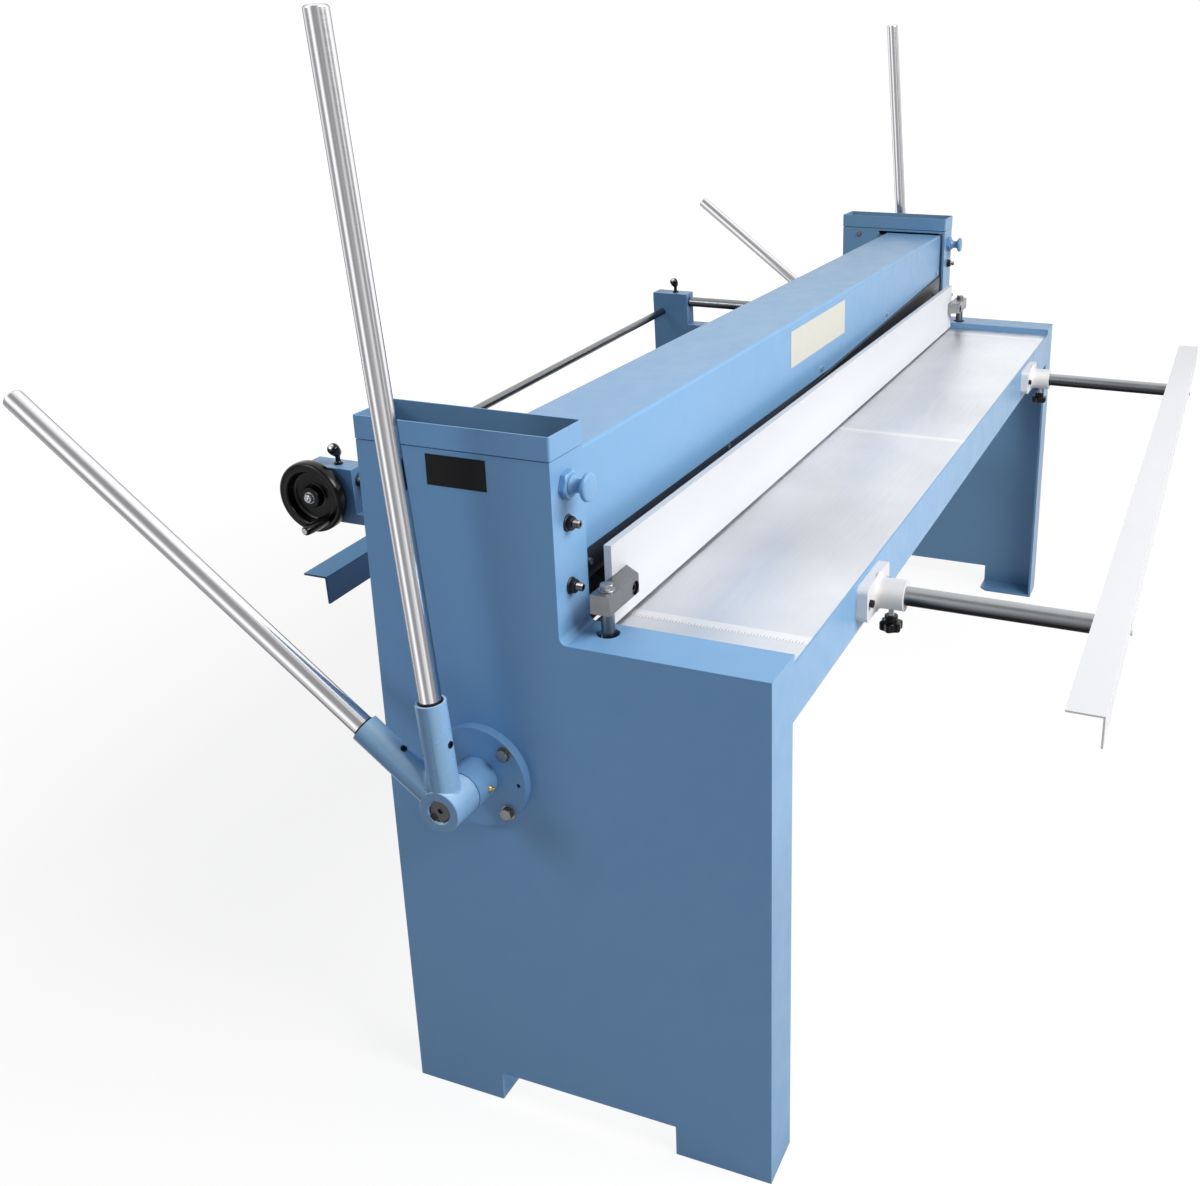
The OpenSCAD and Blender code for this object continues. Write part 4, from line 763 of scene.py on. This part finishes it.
# %% Weld fillets on the lever hubs
HUB_X, HUB_R, SOCKET_R = spot("right_upright_lever")[2][0], 32.5, 22
WELD_LEG, SADDLE_LEG = 6, 12
RING_STEPS, SADDLE_STEPS = 64, 24
middle = (arms[0] + arms[1]).normalized()
half = math.radians((LEANS[1] - LEANS[0]) / 2)
welds = bmesh.new()
for side, _ in SIDES:
    base = Vector((side * HUB_X, SHAFT_Y, SHAFT_Z))
    for arm in arms:
        across = arm.cross(Vector((1, 0, 0)))
        rows = []
        for step in range(RING_STEPS):
            t = 2 * math.pi * step / RING_STEPS
            leg = WELD_LEG * (1 - max(0, side * math.cos(t)))
            pair = []
            for reach in (leg, 0):
                lean = math.asin(SOCKET_R * math.sin(t) / HUB_R) + reach * math.sin(t) / HUB_R
                along = Vector(((SOCKET_R + reach) * math.cos(t), 0, 0))
                pair.append(base + along + (math.sin(lean) * across + math.cos(lean) * arm) * HUB_R)
            rows.append((pair[0], pair[1], pair[1] + arm * leg))
        hollow(welds, rows, True)
    rows = []
    for step in range(SADDLE_STEPS + 1):
        t = math.radians(30 + 120 * step / SADDLE_STEPS)
        along = Vector((SOCKET_R * math.cos(t), 0, 0))
        corner = base + middle * (SOCKET_R * math.sin(t) / math.sin(half)) + along
        rows.append((corner + arms[0] * SADDLE_LEG, corner, corner + arms[1] * SADDLE_LEG))
    hollow(welds, rows, False)
print("weld points:", len(welds.verts))
piece("lever_hub_welds", welds, hub_paint, "left_lever_hub")

# %% [markdown]
# The hub's end is faced to a flat ring. A black ring round the shaft and round each bar in its socket
# is painted shade, for the gap between them. Both are thin turned rings, laid over the hub.

# %% Hub ends and shade rings
shade_rings, faces = bmesh.new(), bmesh.new()
for side, _ in SIDES:
    for arm in arms:
        turn(shade_rings, stand(side * HUB_X, SHAFT_Y, SHAFT_Z, arm), [
            (15.9, 163), (18.4, 163), (18.4, 165.3), (16.9, 165.6), (16.9, 168), (15.9, 168.6), (15.9, 163)])
    end = stand(side * SHAFT_END, SHAFT_Y, SHAFT_Z, (side, 0, 0))
    turn(shade_rings, end, [(15.9, 0.1), (16.0, 0.45), (19.3, 3.2), (19.3, 2.6), (16.2, 0.2), (15.9, 0.1)])
    turn(faces, end, [
        (19.0, 0), (19.0, 3.4), (19.6, 3.98), (31.5, 3.98), (HUB_R, 3.0), (HUB_R, 0), (19.0, 0)])
piece("lever_hub_faces", faces, hub_paint, "left_lever_hub")
# Painted shade: black rings where the gaps round the shaft and the bars would be in shadow.
piece("lever_socket_shade_rings", shade_rings, black_screw, "left_lever_hub")
print("seams:", 2 * len(arms) + 2)

# %% [markdown]
# The trays on the columns are shallow folded boxes. A block is rounded at its corners, its top is
# inset by the sheet's thickness, and the inner face is pushed down. It stands on a smaller seat, so a
# dark seam runs under it. A thin skin inside has a darker, duller paint, as painted shade in the tray's
# hollow.


# %% Top trays
tray_low, tray_high, _ = spot("right_top_tray")
TRAY_SHEET, TRAY_DEPTH = 2.5, 32.5
TRAY_Z = (tray_low[2] + 1.5, tray_high[2])
SEAT_INSET, SEAT_Z = 7, (tray_low[2], tray_low[2] + 1.6)
SKIN_INSET, SKIN_Z = 2.8, (tray_low[2] + 4.4, tray_high[2] - 0.9)


def tray_block(bm, side, inset, low, high):
    """A box as long and wide as the tray, less an inset, between two heights."""
    x0, x1 = sorted((side * tray_low[0], side * tray_high[0]))
    block(bm, (x0 + inset, tray_low[1] + inset, low), (x1 - inset, tray_high[1] - inset, high))


def top_face(bm):
    bm.faces.ensure_lookup_table()
    return max(bm.faces, key=lambda face: face.calc_center_median().z)


def tray(side):
    bm = bmesh.new()
    tray_block(bm, side, 0, *TRAY_Z)
    upright = [e for e in bm.edges if abs(e.verts[0].co.z - e.verts[1].co.z) > 10 * MM]
    bevel(bm, upright, 0.004, 5)
    top = top_face(bm)
    bmesh.ops.inset_individual(bm, faces=[top], thickness=TRAY_SHEET * MM, use_even_offset=True)
    inner = bmesh.ops.extrude_discrete_faces(bm, faces=[top])["faces"][0]
    bmesh.ops.translate(bm, vec=(0, 0, -TRAY_DEPTH * MM), verts=inner.verts)
    soften(bm, 0.0006)
    tray_block(bm, side, SEAT_INSET, *SEAT_Z)
    return bm


# A thin skin of painted shade inside the tray.
def tray_shade_lining(side):
    bm = bmesh.new()
    tray_block(bm, side, SKIN_INSET, *SKIN_Z)
    bmesh.ops.delete(bm, geom=[top_face(bm)], context="FACES_ONLY")
    bmesh.ops.reverse_faces(bm, faces=bm.faces)
    return bm


for side, name in SIDES:
    name += "top_tray"
    piece(name + "_folded", tray(side), frame_paint, name, name)
    piece(name + "_inside", tray_shade_lining(side), tray_shade_paint, name)
    print(name, "folded, inside", TRAY_DEPTH, "mm deep")

# %% [markdown]
# The clamp blocks are plain ground steel. A hexagon bolt holds each one down on its rod, and a socket
# screw in a counterbore holds the white bar. The CAD screws are plain cylinders, so turned ones with
# washer, chamfer and socket take their place.

# %% Clamp screws
_, (rod_end, _, _), (_, CLAMP_Y, _) = spot("clamp_rods")
CLAMP_X, CLAMP_Z = rod_end - 10, spot("right_clamp_block")[1][2]
BAR_SCREW = (1087, -48, 909)
clamp_bolts = bmesh.new()
clamp_caps = bmesh.new()
for side, _ in SIDES:
    top = stand(side * CLAMP_X, CLAMP_Y, CLAMP_Z, spin=20)
    turn(clamp_bolts, top, [(0, 0), (12, 0), (12.2, 0.4), (12.2, 1.6), (11.8, 2), (0, 2)])
    hex_head(clamp_bolts, top, ACROSS, 2, 10)
    turn(clamp_bolts, stand(side * CLAMP_X, CLAMP_Y, CLAMP_Z - 45), [(0, 0), (5.8, 0), (5.8, 46), (0, 46)])
    turn(clamp_caps, stand(side * BAR_SCREW[0], *BAR_SCREW[1:], FRONT), [
        (0, -31), (5.8, -31), (5.8, 0), (7.5, 0), (7.5, 8), (7, 9), (4, 9), (4, 4.5), (0, 4.5)], socket=4)
piece("clamp_bolts_made", clamp_bolts, dull_zinc, "clamp_screws", "clamp_screws")
piece("clamp_caps_made", clamp_caps, black_screw, "clamp_screws")
print("clamp bolts at height", CLAMP_Z)

# %% [markdown]
# The front rods run in white cast bushings, and a fillet swells from the boss into the flange. Under
# each boss a star knob on a bright stud clamps the rod. Its head is a turned disc whose radius waves
# six times round, which is rounder than a disc with six holes cut out.

# %% Bushing fillets and star knobs
_, _, (BUSHING_X, _, FRONT_ROD_Z) = spot("right_gauge_bushing")
STAR_Y, STAR_Z = spot("right_star_knob")[2][1], 779
STAR_LOBES = (6, 14, 3.6)  # how many, where they start, and how deep the hollows are
for side, name in SIDES:
    fillet = bmesh.new()
    turn(fillet, stand(side * BUSHING_X, APRON_Y, FRONT_ROD_Z, FRONT), [
        (16.1, 17), (34, 17), (34, 18), (31, 18.8), (28.6, 20.6), (27, 23.5), (26.4, 27), (26.2, 30),
        (16.1, 30), (16.1, 17)], steps=64)
    piece(name + "bushing_fillet", fillet, gauge_lit_coat, name + "gauge_bushing")

    star = bmesh.new()
    below = stand(side * BUSHING_X, STAR_Y, STAR_Z, DOWN)
    turn(star, below, [
        (0, 12), (10.4, 12), (11.2, 12.8), (11.4, 14.6), (10.6, 15.4), (10.6, 16.4), (11.4, 17.2),
        (11.4, 20), (12, 21.6), (15, 22.6), (19, 23.4), (20, 25), (20, 35), (19, 37.2), (16, 38.4),
        (9, 39), (0, 39)], steps=96, lobes=STAR_LOBES)
    name += "star_"
    piece(name + "knob_made", star, black_plastic, name + "knob", name + "knob")
    stud = bmesh.new()
    turn(stud, below, [(0, -9), (4.7, -9), *thread(4.7, -9, 13), (0, 13)])
    piece(name + "stud", stud, zinc, name + "knob")
    print(name + "knob turned, lobes:", STAR_LOBES[0])

# %% [markdown]
# The handwheel is a dished plastic moulding. Its whole section, from hub over web to rim, is one closed
# outline turned about the cross shaft. A bright nut holds it, and the grip turns on its own pin. The
# rear gauge hangs parallel with the sloping blade, so these places are tilted by the blade's slope.


# %% Handwheel
BLADE_SLOPE, EDGE_Z, REAR_ROD_UP = -2.07, 890, 22


def rear(x, y, z, along=UP, spin=0.0):
    """A place in the rear gauge's sloping frame."""
    sloped = Matrix.Rotation(math.radians(BLADE_SLOPE), 4, "Y")
    lift, rods = [Matrix.Translation((0, 0, height * MM)) for height in (EDGE_Z, REAR_ROD_UP)]
    return lift @ sloped @ rods @ stand(x, y, z, along, spin)


CRANK_R, CRANK_ANGLE = 52, 315
wheel_base = rear(-795, spot("cross_shaft")[2][1], -30, LEFT)
wheel = bmesh.new()
turn(wheel, wheel_base, [
    (10, 0), (20, 0), (22, 1), (46, 1), (50, 0.4), (64, 0), (67.5, 1.2), (69.6, 4), (70, 9), (69.7, 17),
    (68.6, 21), (66, 23.4), (62, 24), (54, 23.7), (51.6, 22.8), (50.2, 20.6), (48.6, 10), (46.5, 7.4),
    (43, 6.6), (25, 6.6), (22.6, 7.6), (21.8, 10), (20.8, 19.4), (19.4, 21), (10, 21), (10, 0)], steps=96)
crank_turn = Matrix.Rotation(math.radians(CRANK_ANGLE), 4, "Z")
grip_spot = wheel_base @ crank_turn @ Matrix.Translation((CRANK_R, 0, 0))
turn(wheel, grip_spot, [(0, 8), (8.6, 8), (9, 21), (8, 22.6), (0, 22.8)])
piece("handwheel_made", wheel, black_plastic, "handwheel", "handwheel")

# %% Nut and grip
centre = bmesh.new()
turn(centre, wheel_base, [(0, 20), (11, 20), (11.4, 20.6), (11.4, 22), (10.8, 22.6), (0, 22.6)])
hex_head(centre, wheel_base, 17, 22.4, 28)
turn(centre, wheel_base, [(0, 27), (4.6, 27), (4.6, 30), (3.8, 31), (0, 31)])
piece("handwheel_nut", centre, zinc, "handwheel")

grip = bmesh.new()
turn(grip, grip_spot, [
    (0, 8), (3.9, 8), (3.9, 24.3), (7.4, 24.3), (8.8, 25.4), (9.4, 29), (10.1, 40), (10.4, 54), (10.2, 70),
    (9.4, 81), (8.2, 86), (6.4, 87.6), (0, 87.6)])
piece("crank_grip_made", grip, black_plastic, "crank_grip", "crank_grip")
grip_end = bmesh.new()
turn(grip_end, grip_spot, [(0, 87), (5.6, 87), (5.6, 88.2), (5, 88.8), (0, 88.8)])
piece("crank_grip_pin_end", grip_end, zinc, "crank_grip")
print("grip turns at", CRANK_R, "mm from the wheel's axis")

# %% [markdown]
# A small black lever on each carriage locks it on its rod. Seen from its end, it is a slim stem with a
# collar, a leaning dome and a bright button. Two turnings that run into each other are enough for it.

# %% Clamp levers
LOCK_X, LOCK_Y = 766, spot("right_clamp_lever")[2][1]
DOME_Z, DOME_LEAN = 47, 40
for side, name in SIDES:
    name += "clamp_lever"
    lever = bmesh.new()
    turn(lever, rear(side * LOCK_X, LOCK_Y, 0), [
        (0, 14.5), (4.8, 14.5), (4.8, 25.2), (8.2, 25.2), (8.4, 26), (8, 28), (5.4, 30), (4.6, 33),
        (4.6, 40), (5.4, 44), (7.4, 47), (8, 51), (6, 55), (0, 56)], steps=32)
    dome = rear(side * LOCK_X, LOCK_Y, DOME_Z) @ Matrix.Rotation(math.radians(DOME_LEAN), 4, "Y")
    turn(lever, dome, [
        (0, -6), (5, -5.4), (8, -2), (9.6, 3), (10.8, 9), (11.2, 14), (10.6, 18), (8.8, 20.8), (6, 22),
        (0, 22.4)], steps=48)
    piece(name + "_made", lever, black_plastic, name, name)
    button = bmesh.new()
    turn(button, dome, [(0, 21.4), (5.4, 21.4), (5.2, 23), (3.2, 23.8), (0, 24)], steps=32)
    piece(name + "_button", button, zinc, name)
    print(name, "turned")

# %% [markdown]
# The grease nipple in each bearing boss is a small brass turning with a round head. At this size the
# outline matters more than its hexagon, so it has none.

# %% Grease nipples
BOSS_X, BOSS_R = 1240, 34
nipples = bmesh.new()
for side, _ in SIDES:
    turn(nipples, stand(side * BOSS_X, SHAFT_Y - BOSS_R, SHAFT_Z, FRONT), [
        (0, -14), (3, -14), (3, -0.5), (4.6, 0), (4.8, 2.2), (3.6, 3.4), (2.2, 4.4), (2, 5.4), (2.9, 6.4),
        (3, 7.6), (2.2, 8.8), (0, 9.2)], steps=32)
piece("grease_nipples_made", nipples, brass, "grease_nipples", "grease_nipples")
print("grease nipples at x", BOSS_X)

# %% [markdown]
# The machine stands on pale paper. The paper lifts itself towards white for the camera, and it turns
# fully white a few metres away, so no horizon shows. Its shadow stays, which a plain white background
# couldn't have. For diffuse rays the paper is a plain grey, so that light from below doesn't fill every
# shadow, and mirrored rays go through it to the world, which has the bands that steel needs.

# %% Floor
PAPER_LOW, PAPER_HIGH = 0.84, 0.88
GREY = (0.42, 0.42, 0.42, 1)
GLOW = 1.12
FADE_FROM, FADE_TO = 1.2, 5.0
FLOOR_HALF = 30.0


def floor_paper():
    material = bpy.data.materials.new("floor_paper")
    material.use_nodes = True
    sheet = Nodes(material.node_tree)
    sheet.tree.nodes.remove(sheet.tree.nodes["Principled BSDF"])
    place = sheet.node("ShaderNodeTexCoord").outputs["Object"]
    fibre = sheet.node("ShaderNodeTexNoise")
    fibre.inputs["Scale"].default_value = 3.0
    sheet.join(place, fibre.inputs["Vector"])
    paper = sheet.node("ShaderNodeBsdfDiffuse")
    sheet.join(sheet.remap(fibre.outputs["Fac"], 0.0, 1.0, PAPER_LOW, PAPER_HIGH), paper.inputs["Color"])
    grey = sheet.node("ShaderNodeBsdfDiffuse")
    grey.inputs["Color"].default_value = GREY
    white = sheet.node("ShaderNodeEmission")
    white.inputs["Strength"].default_value = GLOW
    reach = sheet.node("ShaderNodeVectorMath", operation="LENGTH")
    sheet.join(place, reach.inputs[0])
    fade = sheet.remap(reach.outputs["Value"], FADE_FROM, FADE_TO, 0.76, 1.0, interpolation_type="SMOOTHSTEP")
    rays = sheet.node("ShaderNodeLightPath").outputs
    through = sheet.node("ShaderNodeBsdfTransparent")
    seen = paper
    for factor, other in ((fade, white), (rays["Is Diffuse Ray"], grey), (rays["Is Glossy Ray"], through)):
        choice = sheet.node("ShaderNodeMixShader")
        sheet.join(factor, choice.inputs["Fac"])
        sheet.join(seen.outputs[0], choice.inputs[1])
        sheet.join(other.outputs[0], choice.inputs[2])
        seen = choice
    sheet.join(seen.outputs[0], sheet.tree.nodes["Material Output"].inputs["Surface"])
    return material


floor_mesh = bmesh.new()
bmesh.ops.create_grid(floor_mesh, x_segments=1, y_segments=1, size=FLOOR_HALF)
mesh = bpy.data.meshes.new("studio_floor")
floor_mesh.to_mesh(mesh)
floor_mesh.free()
mesh.materials.append(floor_paper())
floor = bpy.data.objects.new("studio_floor", mesh)
bpy.context.scene.collection.objects.link(floor)
print("floor:", 2 * FLOOR_HALF, "m square")

# %% [markdown]
# One long softbox stands in front of and above the machine, and a weak one at its left rear. Tops and
# fronts get the same light, and the left faces only what comes round the corner. Area lamps are used,
# because their size gives the soft shadow edges that a sun or a point lamp lacks.


# %% Lamps
def softbox(name, place, aim, size, watts, color):
    lamp = bpy.data.lights.new(name, "AREA")
    lamp.shape = "RECTANGLE"
    lamp.size, lamp.size_y = size
    lamp.energy = watts
    lamp.color = color
    obj = bpy.data.objects.new(name, lamp)
    obj.location = place
    obj.rotation_euler = (Vector(aim) - Vector(place)).to_track_quat("-Z", "Y").to_euler()
    bpy.context.scene.collection.objects.link(obj)


softbox("key_softbox", (-0.5, -3.4, 3.8), (0, -0.1, 0.7), (4.2, 2.0), 285, (1.0, 0.97, 0.92))
softbox("side_softbox", (-4.0, 2.9, 3.0), (-1.2, 0.1, 0.6), (1.6, 1.3), 40, (0.86, 0.95, 1.0))
print("lamps:", len(bpy.data.lights))

# %% [markdown]
# Polished steel has no colour of its own, so what it mirrors is its look. The world is white to the
# camera. For reflections it has broad dark and bright parts, like the flags and softboxes of a studio,
# which turn into the long bands on the lever bars. It is brighter behind the machine than in front of
# it, so tops mirror white paper and the left faces mirror a dark room, and it is dark straight below.
# For diffuse light it is a weak even fill.

# %% World
FILL = 0.10
AWAY = Vector((0.82, 0.42, 0.30)).normalized()
BAND_LOW, BAND_HIGH, BEHIND = 0.32, 1.15, 1.2
BELOW_Z, BELOW_SHARE = (-0.85, -0.62), 0.15
world = bpy.data.worlds.new("studio")
bpy.context.scene.world = world
world.use_nodes = True
studio = Nodes(world.node_tree)


def mix(factor, usual, chosen):
    """One value, or another as a factor goes to 1."""
    node = studio.node("ShaderNodeMix")
    studio.join(factor, node.inputs["Factor"])
    for socket, value in ((node.inputs["A"], usual), (node.inputs["B"], chosen)):
        if isinstance(value, float):
            socket.default_value = value
        else:
            studio.join(value, socket)
    return node.outputs["Result"]


direction = studio.node("ShaderNodeTexCoord").outputs["Generated"]
flags = studio.noise(direction, 1.7, (1, 1, 0.3), 0.5)
bands = studio.remap(flags, 0.39, 0.60, BAND_LOW, BAND_HIGH)
behind = studio.remap(studio.dot(direction, AWAY), -0.1, 0.75)
ground = studio.node("ShaderNodeMath", operation="MULTIPLY")
studio.join(mix(behind, bands, BEHIND), ground.inputs[0])
studio.join(studio.remap(studio.axis(direction, "Z"), *BELOW_Z, BELOW_SHARE, 1.0), ground.inputs[1])
rays = studio.node("ShaderNodeLightPath").outputs
light = mix(rays["Is Glossy Ray"], FILL, ground.outputs["Value"])
background = studio.tree.nodes["Background"].inputs
studio.join(mix(rays["Is Camera Ray"], light, 1.0), background["Strength"])
background["Color"].default_value = (1, 1, 1, 1)
bpy.context.scene.view_settings.view_transform = "Standard"
print("world fill:", FILL, "bands:", BAND_LOW, "to", BAND_HIGH)
